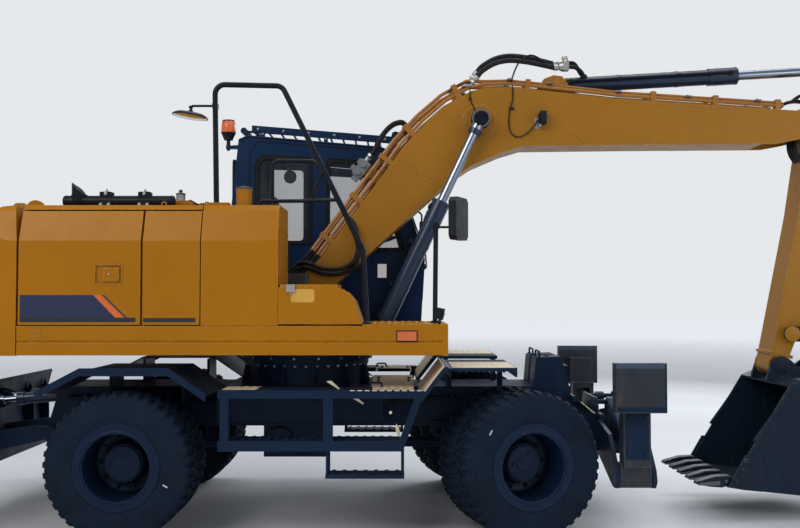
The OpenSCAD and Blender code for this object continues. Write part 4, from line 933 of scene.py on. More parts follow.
film("blank_plate_side", [(2, 1680), (2, 1774), (168, 1774), (168, 1680)], plate_yellow, "upper", -1, 0.2)
edge = Piece()
for x0, x1, z0, z1 in (
    (-2, 172, 1774, 1777), (-2, 172, 1677, 1680), (-2, 2, 1680, 1774), (168, 172, 1680, 1774)
):
    edge.box(x0, x1, -SIDE_Y - 1.6, -SIDE_Y - 0.2, z0, z1)
for x, z in ((8, 1768), (162, 1768), (8, 1686), (162, 1686)):
    edge.lathe([(0, 4.5), (1.2, 4), (2, 2), (2, 0)], (x, -SIDE_Y - 1, z), (0, -1, 0), 10)
edge.done("blank_plate_rivets", ochre, "upper", "ochre_paint")

# Hinges of the rear doors along the counterweight
hinges = Piece()
for side in (-1, 1):
    for z in (1640, 1990):
        hinges.rod((-1924, side * (SIDE_Y - 12), z), (-1924, side * (SIDE_Y - 12), z + 90), 8, 16, 2)
        hinges.box(-1926, -1912, *sorted((side * (SIDE_Y - 30), side * (SIDE_Y - 8))), z + 8, z + 82, 2)
hinges.done("door_hinges", black, "upper", "black_paint")

# Counterweight: rear lamps, covers, bolts and rear camera
tail = Piece()
for s in (-1, 1):
    tail.box(-2408, -2396, s * 880 - 60, s * 880 + 60, 1600, 1740, 5)
    tail.box(-2412, -2403, s * 880 - 52, s * 880 + 52, 1610, 1668, 3)
tail.done("rear_lamp_bodies", trim, "upper", "black_paint")
for s, tag in ((-1, "right"), (1, "left")):
    lamp = Piece()
    lamp.box(-2414, -2406, s * 880 - 50, s * 880 + 50, 1613, 1665, 5)
    for k in range(5):
        y = s * 880 - 36 + 18 * k
        lamp.rod((-2413.5, y, 1617), (-2413.5, y, 1661), 2.2, 8)
    lamp.done("rear_lamp_" + tag, red_plastic, "upper")
    flash = Piece()
    flash.box(-2413, -2405, s * 880 - 50, s * 880 + 50, 1678, 1730, 5)
    flash.lathe([(0, 16), (3, 15), (5, 8), (5, 0)], (-2410, s * 880, 1704), (-1, 0, 0), 20)
    flash.done("rear_indicator_" + tag, amber, "upper")

cw = Piece()
for s in (-1, 1):
    cw.nut((-2398, s * 300, 1640), (-1, 0, 0), 40, 18)
    cw.lathe([(0, 52), (3, 52), (5, 48), (1, 44), (1, 0)], (-2399, s * 300, 1860), (-1, 0, 0), 40)
cw.box(-2404, -2392, -170, 170, 1760, 1900, 5)
for y in (-150, 150):
    for z in (1778, 1882):
        cw.nut((-2403, y, z), (-1, 0, 0), 14, 8)
cw.done("counterweight_cover", ochre, "upper", "ochre_paint")
camera_box = Piece()
camera_box.box(-2090, -2020, -40, 40, TOP_Z - 6, TOP_Z + 6, 3)
camera_box.box(-2128, -2050, -32, 32, TOP_Z + 4, TOP_Z + 56, 8)
camera_box.lathe(
    [(0, 20), (12, 20), (14, 17), (8, 14), (8, 0)], (-2126, 0, TOP_Z + 28), (-1, 0, -0.25), 28
)
camera_box.done("rear_camera", trim, "upper", "black_paint")

# Bolts of the roof plates, small loops on the roof's edge and two low arched plates
roof = Piece()
for x in (-1020, -860, -700):
    for y in (-620, -360, 420, 1090):
        if not (-770 < y < -370 and -1000 < x < -660):
            roof.nut((x, y, TOP_Z), UP, 15, 8)
for x in (-1890, -1560, -1240, -1080):
    roof.nut((x, -1060, TOP_Z - 4), UP, 14, 8)
for x, y in ((-925, -1085), (-616, -1092)):
    loop = rounded(
        [
            (x - 16, y, TOP_Z - 10), (x - 16, y, TOP_Z + 24), (x + 16, y, TOP_Z + 24),
            (x + 16, y, TOP_Z - 10)
        ],
        15
    )
    roof.sweep(loop, 4.5, 8)
for side in (-1, 1):
    arc = [
        (-1878 + 68 * math.cos(t), TOP_Z - 22 + 68 * math.sin(t))
        for t in (math.pi * k / 20 for k in range(21))
    ]
    roof.slab(
        [(x, max(z, TOP_Z - 2)) for x, z in arc if z > TOP_Z - 10], *sorted((side * 985, side * 1015)), 3
    )
roof.done("roof_bolts", ochre, "upper", "ochre_paint")

hood_fit = Piece()
for y in (-560, 1060):
    hood_fit.sweep(
        rounded(
            [
                (-1640, y, TOP_Z - 2), (-1640, y, TOP_Z + 34), (-1500, y, TOP_Z + 34),
                (-1500, y, TOP_Z - 2)
            ],
            14
        ),
        7, 10
    )
for x in (-1890, -1075):
    for y in (-640, -100, 700, 1080):
        hood_fit.nut((x, y, TOP_Z), UP, 14, 8)
hood_fit.done("hood_handles", black, "hood", "black_paint")
slats = Piece()
x = -1772 + 26
while x < -1490:
    slats.box(x + 2, x + 34, 132, 568, TOP_Z - 10, TOP_Z - 3, 1.5)
    x += 60
slats.done("hood_grille_slats", black, "hood", "black_paint")

# Pre-cleaner's breather with its clear bowl, standing on the raised base
breather = Piece()
bx, by, bz = -924, -570, TOP_Z + 45
breather.lathe([(0, 46), (6, 46), (8, 30), (26, 30), (28, 38), (34, 38)], (bx, by, bz), UP, 40)
breather.lathe(
    [(88, 38), (98, 36), (102, 22), (104, 12), (122, 12), (124, 9), (124, 0)], (bx, by, bz), UP, 36
)
breather.nut((bx, by, bz + 112), UP, 26, 14)
for t in turns(6):
    x, y = bx + 33 * math.cos(t), by + 33 * math.sin(t)
    breather.box(x - 2, x + 2, y - 2, y + 2, bz + 30, bz + 92)
breather.done("breather_frame", grey_trim, "upper", "black_paint")
cup = Piece()
cup.lathe([(32, 30), (34, 35), (88, 35), (90, 30)], (bx, by, bz), UP, 40)
cup.done("breather_bowl", bowl, "upper", "window_glass")
ribs = Piece()
for x0 in (-960, -830, -730):
    ribs.box(x0, x0 + 34, -772, -368, bz - 8, bz + 5, 4)
for x, y in ((-985, -745), (-985, -395), (-680, -745), (-680, -395)):
    ribs.nut((x, y, bz), UP, 14, 8)
hump = [
    (-975, 2373), (-962, 2404), (-928, 2426), (-880, 2437), (-806, 2437), (-772, 2421), (-752, 2396),
    (-745, 2373)
]
ribs.slab(hump, -835, -776, 8)
ribs.box(-612, -470, -1046, -954, TOP_Z - 2, TOP_Z + 26, 10)
ribs.done("cleaner_base_ribs", ochre, "upper", "ochre_paint")
Piece().slab(
    [(-812, 2439), (-790, 2442), (-688, 2386), (-690, 2374), (-706, 2374)], -826, -786, 3
).done("cleaner_cover", black, "upper", "black_paint")

# Fuel filler: cap with grip, and the rings of its neck
filler = Piece()
fx, fy = -363, -1000
filler.lathe([(0, 70), (6, 70), (9, 64), (9, 57)], (fx, fy, TOP_Z), UP, 48)
filler.lathe([(-4, 59), (0, 60), (5, 59), (5, 57)], (fx, fy, TOP_Z + 118), UP, 48)
filler.done("filler_ring", ochre, "upper", "ochre_paint")
cap = Piece()
cap.lathe(
    [(0, 58), (4, 61), (14, 61), (18, 57), (19, 40), (24, 36), (25, 0)], (fx, fy, TOP_Z + 121), UP, 48
)
for t in turns(14):
    x, y = fx + 61 * math.cos(t), fy + 61 * math.sin(t)
    cap.rod((x, y, TOP_Z + 123), (x, y, TOP_Z + 136), 3.4, 8)
cap.box(fx - 7, fx + 7, fy - 34, fy + 34, TOP_Z + 142, TOP_Z + 152, 3)
cap.done("filler_cap", grey_trim, "upper", "black_paint")

# Ribs on the front of the fuel tank, and its level gauge
front = Piece()
for y in (700, 810, 920, 1030, 1140):
    front.box(-92, -79, -y - 26, -y, 1826, 2204, 5)
for z in (1860, 2170):
    for y in (668, 1180):
        front.nut((-88.5, -y, z), AHEAD, 14, 8)
front.done("tank_ribs", ochre, "upper", "ochre_paint")
gauge = Piece()
gauge.box(-91, -76, -668, -640, 1900, 2140, 4)
gauge.done("tank_gauge", trim, "upper", "black_paint")

# Tool box: hasp, and grip studs on its lid and on the deck
hasp = Piece()
hasp.box(-30, 32, -SIDE_Y - 14, -SIDE_Y - 10, 1752, 1806, 2)
hasp.rod((0, -SIDE_Y - 12, 1748), (0, -SIDE_Y - 12, 1738), 8, 16, 2)
hasp.done("tool_box_hasp", zinc, "tool_box_lid", "black_paint")
grip = Piece()
for k in range(6):
    x = 20 + k * 55
    for j in range(9):
        y = -820 - j * 44
        grip.box(x - 14, x + 6, y - 13, y + 13, 1805, 1808.5, 1.5)
grip.done("lid_grip_studs", ochre, "tool_box_lid", "ochre_paint")
deck = Piece()
for i in range(10):
    for j in range(14):
        x, y = 580 + i * 52, -430 - j * 52
        if abs(y + 900) < 60 and x > 960:
            continue
        deck.lathe([(0, 13), (2.5, 11), (3.5, 8), (0.5, 6), (0.5, 0)], (x, y, 1527), UP, 10)
deck.done("deck_grip_studs", ochre, "upper", "ochre_paint")

# Smooth tubes of the handrails, on their bolted feet
rails = Piece()
RAIL_Y = -1000
for pts, r, b in (
    (
        [
            (-565, RAIL_Y, TOP_Z + 5), (-581, RAIL_Y, 3270), (-92, RAIL_Y, 3259), (507, -1150, 2052),
            (537, -1180, SILL_Z + 17)
        ],
        20, 70
    ),
    (
        [(-159, RAIL_Y, TOP_Z + 5), (-159, RAIL_Y, 2710), (140, RAIL_Y - 15, 2706), (213, -1075, 2640)],
        14, 45
    ),
    ([(-205, RAIL_Y, 2415), (20, RAIL_Y - 10, 2415), (322, -1103, 2415)], 14, 90),
    ([(131, -1040, 2420), (214, -1075, 2625)], 12, 10)
):
    rails.sweep(rounded(pts, b, 9), r, 18)
for x, y, z in ((-565, RAIL_Y, TOP_Z), (-159, RAIL_Y, TOP_Z), (537, -1180, SILL_Z + 12)):
    rails.box(x - 30, x + 30, y - 38, y + 38, z + 0.5, z + 9, 2)
    rails.lathe([(0, 30), (4, 30), (12, 21)], (x, y, z + 8), UP, 24)
    for s in (-1, 1):
        rails.nut((x, y + s * 28, z + 9), UP, 14, 9)
rails.sweep(rounded([(-205, RAIL_Y, 2415), (-245, RAIL_Y, 2415), (-250, RAIL_Y, TOP_Z + 2)], 24), 14, 16)
rails.box(-275, -225, RAIL_Y - 30, RAIL_Y + 30, TOP_Z + 0.5, TOP_Z + 8, 2)
rails.box(-597, -557, RAIL_Y - 26, RAIL_Y + 26, 3092, 3128, 5)
rails.done("rail_tubes", black, "upper", "black_paint", 40, ("handrails",))

# Mirrors
round_mirror = Piece()
shell = [(30, 0), (32, 20), (31, 60), (26, 100), (14, 124), (6, 131), (0, 132), (0, 126)]
round_mirror.lathe([(d, r) for d, r in shell], (-762, -1000, 3031), (0.14, 0, 0.99), 56)
round_mirror.sweep(rounded([(-758, -1000, 3058), (-752, -1000, 3112), (-600, -1000, 3112)], 16), 9, 14)
round_mirror.lathe([(-16, 13), (-12, 17), (10, 17), (14, 13)], (-757, -1000, 3068), UP, 24)
round_mirror.rod((-757, -1018, 3100), (-757, -982, 3100), 12, 16, 2)
front_mirror = Piece()
profile = [
    (-96, 2134), (96, 2134), (126, 2164), (126, 2414), (96, 2444), (-96, 2444), (-126, 2414), (-126, 2164)
]


def mirror_shape(piece, inset, x0, x1, r):
    k = 1 - inset / 130
    pts = [(y * k, 2289 + (z - 2289) * (1 - inset / 158)) for y, z in profile]
    rings = [piece.ring([(x, y, z) for y, z in pts]) for x in (x0, x1)]
    piece.soften(piece.skin(rings), r, 3)


mirror_shape(front_mirror, 0, -34, 26, 14)
front_mirror.turned((0, 0, 0), -24, UP)
for vert in front_mirror.bm.verts:
    vert.co += v(1201, -960, 0) - v(0, 0, 0)
front_mirror.sweep(rounded([(1027, -900, SILL_Z + 14), (1035, -900, 2263)], 30), 18, 18)
front_mirror.lathe([(0, 22), (5, 20), (6, 14), (6, 0)], (1035, -900, 2262), UP, 24)
front_mirror.sweep(
    rounded([(1038, -890, 2240), (1060, -805, 2240), (1226, -795, 2240), (1240, -850, 2240)], 20, 8), 9,
    14
)
front_mirror.box(1010, 1060, -922, -878, 2222, 2258, 5)
front_mirror.box(995, 1059, -945, -855, SILL_Z + 12.5, SILL_Z + 21, 2)
for s in (-1, 1):
    front_mirror.nut((1006, -900 + s * 32, SILL_Z + 20), UP, 14, 9)
    front_mirror.nut((1048, -900 + s * 32, SILL_Z + 20), UP, 14, 9)
front_mirror.done("front_mirror_housing", trim, "upper", "mirror_plastic", 40, ("mirrors",))
round_mirror.done("round_mirror_shell", black, "upper", "mirror_plastic", 40)
glass_round = Piece()
glass_round.lathe(
    [(0, 126), (-3, 118), (-9, 84), (-13, 40), (-14, 0)], (-762, -1000, 3032), (0.14, 0, 0.99), 56
)
glass_round.done("round_mirror_glass", mirror_face, "upper")
glass_front = Piece()
mirror_shape(glass_front, 12, -37, -33.5, 0.8)
glass_front.turned((0, 0, 0), -24, UP)
for vert in glass_front.bm.verts:
    vert.co += v(1201, -960, 0) - v(0, 0, 0)
glass_front.done("front_mirror_glass", mirror_face, "upper")

# Helpers for frames round openings, closed tubes and hoses


def inset_loop(points, d):
    """The outline moved inwards by d; its points run round in either direction."""
    pts = [Vector(p) for p in points]
    area_sum = sum(p.x * q.y - q.x * p.y for p, q in zip(pts, pts[1:] + pts[:1]))
    turn = 1 if area_sum > 0 else -1
    out = []
    for i, p in enumerate(pts):
        a = (p - pts[i - 1]).normalized()
        b = (pts[(i + 1) % len(pts)] - p).normalized()
        na = Vector((-a.y, a.x)) * turn
        nb = Vector((-b.y, b.x)) * turn
        middle = (na + nb) / (1 + na.dot(nb))
        out.append(p + middle * d)
    return out


def round_loop(points, radius, steps=5):
    """The outline with every corner turned into an arc of steps + 1 points."""
    pts = [Vector(p) for p in points]
    out = []
    for i, q in enumerate(pts):
        p, s = pts[i - 1], pts[(i + 1) % len(pts)]
        u, w = (p - q).normalized(), (s - q).normalized()
        reach = min(radius, (p - q).length * 0.45, (s - q).length * 0.45)
        for j in range(steps + 1):
            t = j / steps
            out.append(q + u * reach * (1 - t) ** 2 + w * reach * t**2)
    return out


def ring_plate(piece, outline, grow, inset, r_out, r_in, place, near, far):
    """A flat frame round an opening. place(a, b, depth) gives the point; near and far are its two faces."""
    outer = round_loop(inset_loop(outline, -grow), r_out)
    inner = round_loop(inset_loop(outline, inset), r_in)
    rings = []
    for loop, depth in ((outer, near), (inner, near), (inner, far), (outer, far), (outer, near)):
        if depth == near and rings and loop is outer:
            rings.append(rings[0])
        else:
            rings.append(piece.ring([place(p.x, p.y, depth) for p in loop]))
    piece.skin(rings, caps=False)


def hoop(piece, points, r, n=10):
    """A closed tube through the points."""
    pts = [Vector(p) for p in points]
    count = len(pts)
    side = None
    rings = []
    for i, p in enumerate(pts):
        t = (pts[(i + 1) % count] - pts[i - 1]).normalized()
        if side is None:
            side = t.orthogonal().normalized()
        side = (side - t * side.dot(t)).normalized()
        other = t.cross(side)
        rings.append(piece.ring(circle(p, r, side, other, n)))
    rings.append(rings[0])
    piece.skin(rings, caps=False)


def even(points, gap):
    """Points at even distances along a polyline."""
    pts = [Vector(p) for p in points]
    total = sum((b - a).length for a, b in zip(pts, pts[1:]))
    count = max(2, round(total / gap))
    out = [pts[0]]
    step = total / count
    left = step
    for a, b in zip(pts, pts[1:]):
        length = (b - a).length
        done = 0.0
        while length - done >= left - 1e-6 and len(out) < count:
            done += left
            out.append(a.lerp(b, done / length))
            left = step
        left -= length - done
    out.append(pts[-1])
    return out


def ribbed(piece, points, r, pitch=9.0, depth=1.6, n=12):
    """A hose in a ribbed sleeve."""
    path = even(spline(points, 10), pitch / 2)
    radii = [r + (depth if i % 2 else 0) for i in range(len(path))]
    piece.sweep(path, radii, n)


def hose_end(piece, p, towards, r):
    """A crimped hose end with its nut, from p towards the given direction."""
    axis = Vector(towards).normalized()
    profile = [
        (0, r * 1.02), (2, r * 1.25), (34, r * 1.25), (36, r * 1.05), (42, r * 0.85), (50, r * 0.85)
    ]
    piece.lathe(profile, p, axis, 18)
    piece.lathe([(0, r * 1.35), (20, r * 1.35), (22, r * 1.2)], Vector(p) + axis * 48, axis, 6)
    return Vector(p) + axis * 68


def bead(piece, p, q, r=5.0):
    """A weld bead with an uneven back."""
    path = even([p, q], 9.0)
    piece.sweep(
        path, [r * (1 + 0.16 * math.sin(i * 2.3) + 0.08 * math.sin(i * 5.1)) for i in range(len(path))], 8
    )


def bead_ring(piece, centre, axis, radius, r=5.0, n=48):
    """A weld bead round a boss."""
    axis = Vector(axis).normalized()
    side = axis.orthogonal().normalized()
    other = axis.cross(side)
    hoop(piece, circle(Vector(centre), radius, side, other, n), r, 8)


# Silencer: bands and bolts of its two clamps, domed ends, and the outlet's collar and scoop

EX_Y = -920
EX_Z = TOP_Z + 46
clamps = Piece()
clamp_bolts = Piece()
for x in (-1432, -1150):
    for k in (6, 76):
        clamps.lathe(
            [(0, 44), (0, 48.5), (8, 48.5), (8, 44)], (x + k, EX_Y, EX_Z), AHEAD, 48, closed=True
        )
    clamps.box(x + 8, x + 82, EX_Y - 34, EX_Y + 34, EX_Z + 60, EX_Z + 69, 3)
    for side in (-1, 1):
        for dx in (16, 74):
            clamp_bolts.nut((x + dx, EX_Y + side * 55, TOP_Z + 18), (0, side, 0), 19, 12)
        clamp_bolts.nut((x + 45, EX_Y + side * 32, EX_Z + 54), (0, side, 0), 19, 12)
    clamp_bolts.nut((x + 45, EX_Y, EX_Z + 68), UP, 22, 16)
    clamp_bolts.rod((x + 45, EX_Y, EX_Z + 66), (x + 45, EX_Y, EX_Z + 92), 7, 12, 1.5)
clamps.done("silencer_clamps", black, "upper", "black_paint")
clamp_bolts.done("silencer_bolts", zinc, "upper", "black_paint")
tip = Piece()
for x, s in ((-1690, -1), (-900, 1)):
    tip.lathe([(0, 42.5), (6, 41), (12, 35), (16, 24), (17, 0)], (x, EX_Y, EX_Z), (s, 0, 0), 40)
    tip.lathe([(-8, 42.3), (-6, 44.5), (-2, 44.5), (0, 42.3)], (x - s * 4, EX_Y, EX_Z), (s, 0, 0), 40)
tip.lathe([(0, 57), (0, 60), (12, 60), (12, 57)], (-1588, EX_Y, EX_Z + 34), UP, 40, closed=True)
tip.lathe([(0, 12), (1, 49)], (-1588, EX_Y, EX_Z + 44.5), UP, 32)
top_end, low_end = Vector((-1645, EX_Y, 2548)), Vector((-1526, EX_Y, 2416))
down = (low_end - top_end).normalized()
out = Vector((-down.z, 0, down.x))
rings = []
for i in range(15):
    t = i / 14
    swell = math.sin(math.pi * min(max(t, 0.02), 0.98)) ** 0.6
    middle = top_end.lerp(low_end, t) + out * 6 * swell
    rings.append(
        tip.ring(
            [
                middle + out * 22 * swell * math.cos(a) + Vector((0, 54 * swell * math.sin(a), 0))
                for a in turns(20)
            ]
        )
    )
tip.skin(rings)
tip.done("silencer_tip", black, "upper", "black_paint", 40)

# Cab: frames and seals of the windows

CAB_Y0, CAB_Y1 = 372, 1235
SIDE_REAR = [(-480, 2190), (-480, 2880), (-430, 2940), (-12, 2925), (-12, 2190)]
SIDE_FRONT = [(144, 2130), (144, 2915), (590, 2885), (800, 2130)]
LEFT_REAR = [(-620, 2240), (-620, 2500), (-570, 2960), (-140, 2950), (-140, 2240)]
DOOR_TOP = [(0, 2100), (0, 2900), (580, 2870), (800, 2100)]
DOOR_LOW = [(0, 1580), (0, 2020), (790, 2020), (790, 1580)]
REAR_PANE = [(482, 2330), (482, 2920), (1125, 2920), (1125, 2330)]


def pane_frame(name, outlines, place, near, far, body):
    """Rubber seals with rounded corners, proud of the wall and reaching into the opening."""
    seal = Piece()
    for outline in outlines:
        ring_plate(seal, outline, 16, 17, 46, 40, place, near, far)
        points = round_loop(inset_loop(outline, -12), 44)
        hoop(seal, [place(p.x, p.y, near) for p in points], 5)
    seal.done(name, seal_rubber, body, "black_paint", 50)


pane_frame(
    "seals_right", (SIDE_REAR, SIDE_FRONT), lambda a, b, d: (a, d, b), CAB_Y0 - 4, CAB_Y0 + 17, "upper"
)
pane_frame("seals_left", (LEFT_REAR,), lambda a, b, d: (a, d, b), CAB_Y1 + 4, CAB_Y1 - 17, "upper")
pane_frame(
    "seals_door", (DOOR_TOP, DOOR_LOW), lambda a, b, d: (a, d, b), CAB_Y1 + 4, CAB_Y1 - 17, "cab_door"
)
pane_frame("seals_rear", (REAR_PANE,), lambda a, b, d: (d, a, b), -704, -689, "upper")


def shield_x(z, out):
    """X of the windshield's outer face at the height z, moved out by out."""
    low, high = (1700, 947), (2050, 966.5)
    if z > 2050:
        low, high = (2050, 966.5), (2900, 708)
    return low[1] + (high[1] - low[1]) * (z - low[0]) / (high[0] - low[0]) + out


shield = Piece()
for y in (452, 1155):
    shield.sweep(
        [(shield_x(z, 10), y, z) for z in (1700, 1850, 2000, 2045, 2060, 2300, 2600, 2900)], 13, 10
    )
for z in (1700, 2050, 2900):
    shield.sweep([(shield_x(z, 10), y, z) for y in (452, 1155)], 13, 10)
shield.done("windshield_seals", seal_rubber, "upper", "black_paint", 50)

wiper = Piece()
wiper.lathe(
    [(0, 26), (16, 26), (22, 20), (30, 12), (34, 0)], (shield_x(1990, 18), 700, 1990), (1, 0, 0.05), 24
)
wiper.sweep(
    [(shield_x(1990, 46), 700, 1990), (shield_x(2100, 50), 716, 2100), (shield_x(2560, 34), 760, 2560)],
    7, 10
)
wiper.sweep([(shield_x(2240, 26), 728, 2240), (shield_x(2780, 26), 790, 2780)], 5, 8)
wiper.box(shield_x(2510, 12), shield_x(2510, 40), 746, 770, 2490, 2530, 3)
wiper.done("wiper", trim, "upper", "black_paint")

# Cab: roof gutters, ribs of the right wall, a dark bead along the right wall's pressed rib whose colour
# paints the rib's shade, door handle and front grab rail
cab_trim = Piece()
for y, s in ((CAB_Y0, -1), (CAB_Y1, 1)):
    gutter = [(-636, 3088), (-560, 3122), (600, 3022), (694, 2980)]
    cab_trim.sweep([(x, y + s * 2, z) for x, z in gutter], 9, 10)
cab_trim.sweep([(-560, CAB_Y0 + 20, 3128), (-560, CAB_Y1 - 20, 3128)], 8, 10)
for x0, x1 in ((-640, -520), (-440, 80), (190, 760)):
    cab_trim.box(x0, x1, CAB_Y0 - 4, CAB_Y0 + 2, 1560, 1600, 2)
    cab_trim.box(x0, x1, CAB_Y0 - 4, CAB_Y0 + 2, 1660, 1700, 2)
cab_trim.done("cab_gutters", cab_blue, "upper", "cab_paint")
# A thin bead along the pressed rib below the roof's edge; its dark rubber colour is painted shade along the
# rib.
rib_painted_shade = Piece()
rib_painted_shade_line = [(-545, 2420), (-541, 2980), (-470, 3076), (440, 3006), (655, 2985)]
rib_painted_shade.sweep(rounded([(x, CAB_Y0 - 1, z) for x, z in rib_painted_shade_line], 60), 4.5, 8)
rib_painted_shade.done("cab_wall_rib_painted_shade", seal_rubber, "upper", "black_paint")
handle = Piece()
handle.box(745, 815, CAB_Y1 + 0.5, CAB_Y1 + 8, 2030, 2085, 4)
handle.sweep(
    rounded(
        [
            (755, CAB_Y1 + 4, 2066), (755, CAB_Y1 + 34, 2066), (805, CAB_Y1 + 34, 2066),
            (805, CAB_Y1 + 4, 2066)
        ],
        14
    ),
    7, 10
)
handle.lathe([(0, 9), (4, 9), (5, 6), (5, 0)], (780, CAB_Y1 + 7, 2044), LEFT, 16)
handle.done("cab_door_handle", black, "cab_door", "cab_paint")
grab = Piece()
x, z0, z1 = 905, 1700, 2260
grab.sweep(
    rounded([(x, CAB_Y1 - 4, z0), (x, CAB_Y1 + 62, z0), (x, CAB_Y1 + 62, z1), (x, CAB_Y1 - 4, z1)], 30),
    14, 14
)
for z in (z0, z1):
    grab.lathe([(0, 28), (5, 28), (9, 18)], (x, CAB_Y1 - 1, z), LEFT, 20)
grab.done("cab_grab_rails", black, "upper", "black_paint", 40)

# Roof guard: bolts of its bars, and the beacon with its cable


def guard_z(x):
    return 3217 - (x + 524) * 0.0805


guard = Piece()
for y, s in ((CAB_Y0, -1), (CAB_Y1, 1)):
    for k in range(6):
        x = -470 + k * 222
        guard.nut((x, y, guard_z(x) - 29), (0, s, 0), 17, 10)
    for x in (-428, 122, 567):
        guard.nut((x, y + s * -6, guard_z(x) - 66), (0, s, 0), 15, 9)
guard.done("guard_bolts", steel, "upper", "black_paint")

BEACON = (-742, 452)
beacon = Piece()
beacon.lathe(
    [(-1, 38), (8, 40), (40, 54), (60, 64.5), (66, 64.5), (66, 60)], (BEACON[0], BEACON[1], 3100), UP, 40
)
beacon.lathe([(0, 19), (8, 19), (12, 17), (38, 17)], (BEACON[0], BEACON[1], 3046), UP, 24)
beacon.nut((BEACON[0], BEACON[1], 3020), (0, 0, -1), 26, 14)
for x in (-690, -668):
    for y in (440, 464):
        beacon.nut((x, y, 3047), UP, 12, 8)
beacon.sweep(
    spline(
        [(-742, 470, 3062), (-722, 486, 3052), (-690, 486, 3052), (-652, 478, 3058), (-636, 470, 3080)], 6
    ),
    4, 8
)
beacon.done("beacon_base", trim, "upper", "black_paint", 40)
beacon = Piece()
beacon.lathe(
    [(0, 63), (4, 64), (60, 61), (100, 56), (114, 46), (120, 26), (122, 0)], (BEACON[0], BEACON[1], 3160),
    UP, 48
)
for t in turns(24):
    c, s = math.cos(t), math.sin(t)
    beacon.sweep(
        [
            (BEACON[0] + c * 63, BEACON[1] + s * 63, 3166),
            (BEACON[0] + c * 57.5, BEACON[1] + s * 57.5, 3254)
        ],
        1.6, 6
    )
beacon.done("beacon_lens", amber, "upper", None, 40)

# Work lamps: two on the cab's front edge and one on the front of the upper body


def work_lamp(name, places, body):
    """Each place is (centre, direction it shines). Housing with fins and yoke, and a lens."""
    housing = Piece()
    pane = Piece()
    for centre, aim in places:
        c = Vector(centre)
        a = Vector(aim).normalized()
        side = a.cross(Vector(UP)).normalized()
        up = side.cross(a)

        def at(x, y, z):
            return c + a * x + side * y + up * z

        def block(piece, x0, x1, y0, y1, z0, z1, r):
            rings = [
                piece.ring([at(x, y0, z0), at(x, y1, z0), at(x, y1, z1), at(x, y0, z1)]) for x in (x0, x1)
            ]
            piece.soften(piece.skin(rings), r)

        block(housing, -34, 22, -46, 46, -40, 40, 10)
        for k in range(5):
            block(housing, -48, -32, -36 + k * 18 - 2, -36 + k * 18 + 2, -30, 30, 0)
        for s in (-1, 1):
            block(housing, -8, 8, s * 50 - 3, s * 50 + 3, -62, 10, 2)
            housing.nut(at(0, s * 53, 0), side * s, 14, 8)
        block(housing, -12, 12, -53, 53, -66, -60, 2)
        housing.nut(at(0, 0, -66), -up, 16, 12)
        block(pane, 20, 25, -40, 40, -34, 34, 4)
        for y in (-20, 20):
            pane.lathe([(24, 17), (27, 15), (28, 6), (28, 0)], at(0, y, 0), a, 20)
    housing.done(name + "_housing", trim, body, "black_paint")
    pane.done(name + "_lens", lamp_glass, body, "window_glass")


work_lamp("cab_lamps", [((742, 470, 3128), (1, 0, -0.25)), ((742, 1137, 3128), (1, 0, -0.25))], "upper")
work_lamp("deck_lamp", [((1062, -1120, 1598), (1, -0.1, -0.2))], "upper")

# Left mirror on the cab's front post
left_mirror = Piece()
left_mirror.sweep(
    rounded(
        [(850, 1228, 2560), (905, 1262, 2560), (980, 1272, 2520), (980, 1272, 2120), (860, 1238, 2080)],
        40
    ),
    9, 12
)
left_mirror.box(838, 862, 1222, 1242, 2540, 2580, 3)
left_mirror.box(848, 872, 1222, 1246, 2062, 2098, 3)
left_mirror.done("left_mirror_arm", black, "upper", "black_paint", 40)
left_shell = Piece()
left_shell.box(958, 1012, 1184, 1240, 2180, 2440, 16)
left_shell.done("left_mirror_shell", trim, "upper", "mirror_plastic")
left_face = Piece()
left_face.box(955, 959, 1192, 1232, 2192, 2428, 1.5)
left_face.done("left_mirror_glass", mirror_face, "upper")

# Cab inside: padded seat, consoles, levers, steering wheel, monitor, pedals and mat

SEAT_Y = 803.5
FLOOR_Z = 1465


def cushion(place, width, length, thick, crown, grooves=(), n=26, m=30):
    """A crowned closed pad. place(u, w, h) gives the point; grooves are places of sewn channels along w."""
    piece = Piece()
    for face in (1, -1):
        rows = []
        for i in range(m + 1):
            w = i / m * 2 - 1
            row = []
            for j in range(n + 1):
                u = j / n * 2 - 1
                pull = (1 - abs(u) ** 6) * (1 - abs(w) ** 6)
                bulge = (1 - u * u) * (1 - w * w)
                edge_in = 1 - 0.035 * (1 - pull) * (1 - abs(u * w))
                rise = thick / 2 * max(pull, 0.0) ** 0.28
                if face > 0:
                    groove = sum(math.exp(-(((w - g) * length / 18) ** 2)) for g in grooves)
                    rise += crown * bulge
                    rise -= 7 * groove * pull
                row.append((u * width / 2 * edge_in, w * length / 2 * edge_in, face * rise))
            rows.append(row)
        rings = [piece.ring([place(*p) for p in row]) for row in rows]
        piece.skin(rings, closed=False, caps=False)
    bmesh.ops.remove_doubles(piece.bm, verts=piece.bm.verts[:], dist=0.0006)
    return piece


def pad_edge(piece, place, width, length, r=4.0):
    """The piping sewn round a pad."""
    hw, hl = width / 2 * 0.965, length / 2 * 0.965
    outline = [(-hw, -hl), (hw, -hl), (hw, hl), (-hw, hl)]
    hoop(piece, [place(p.x, p.y, 0) for p in round_loop(outline, 60, 8)], r, 8)


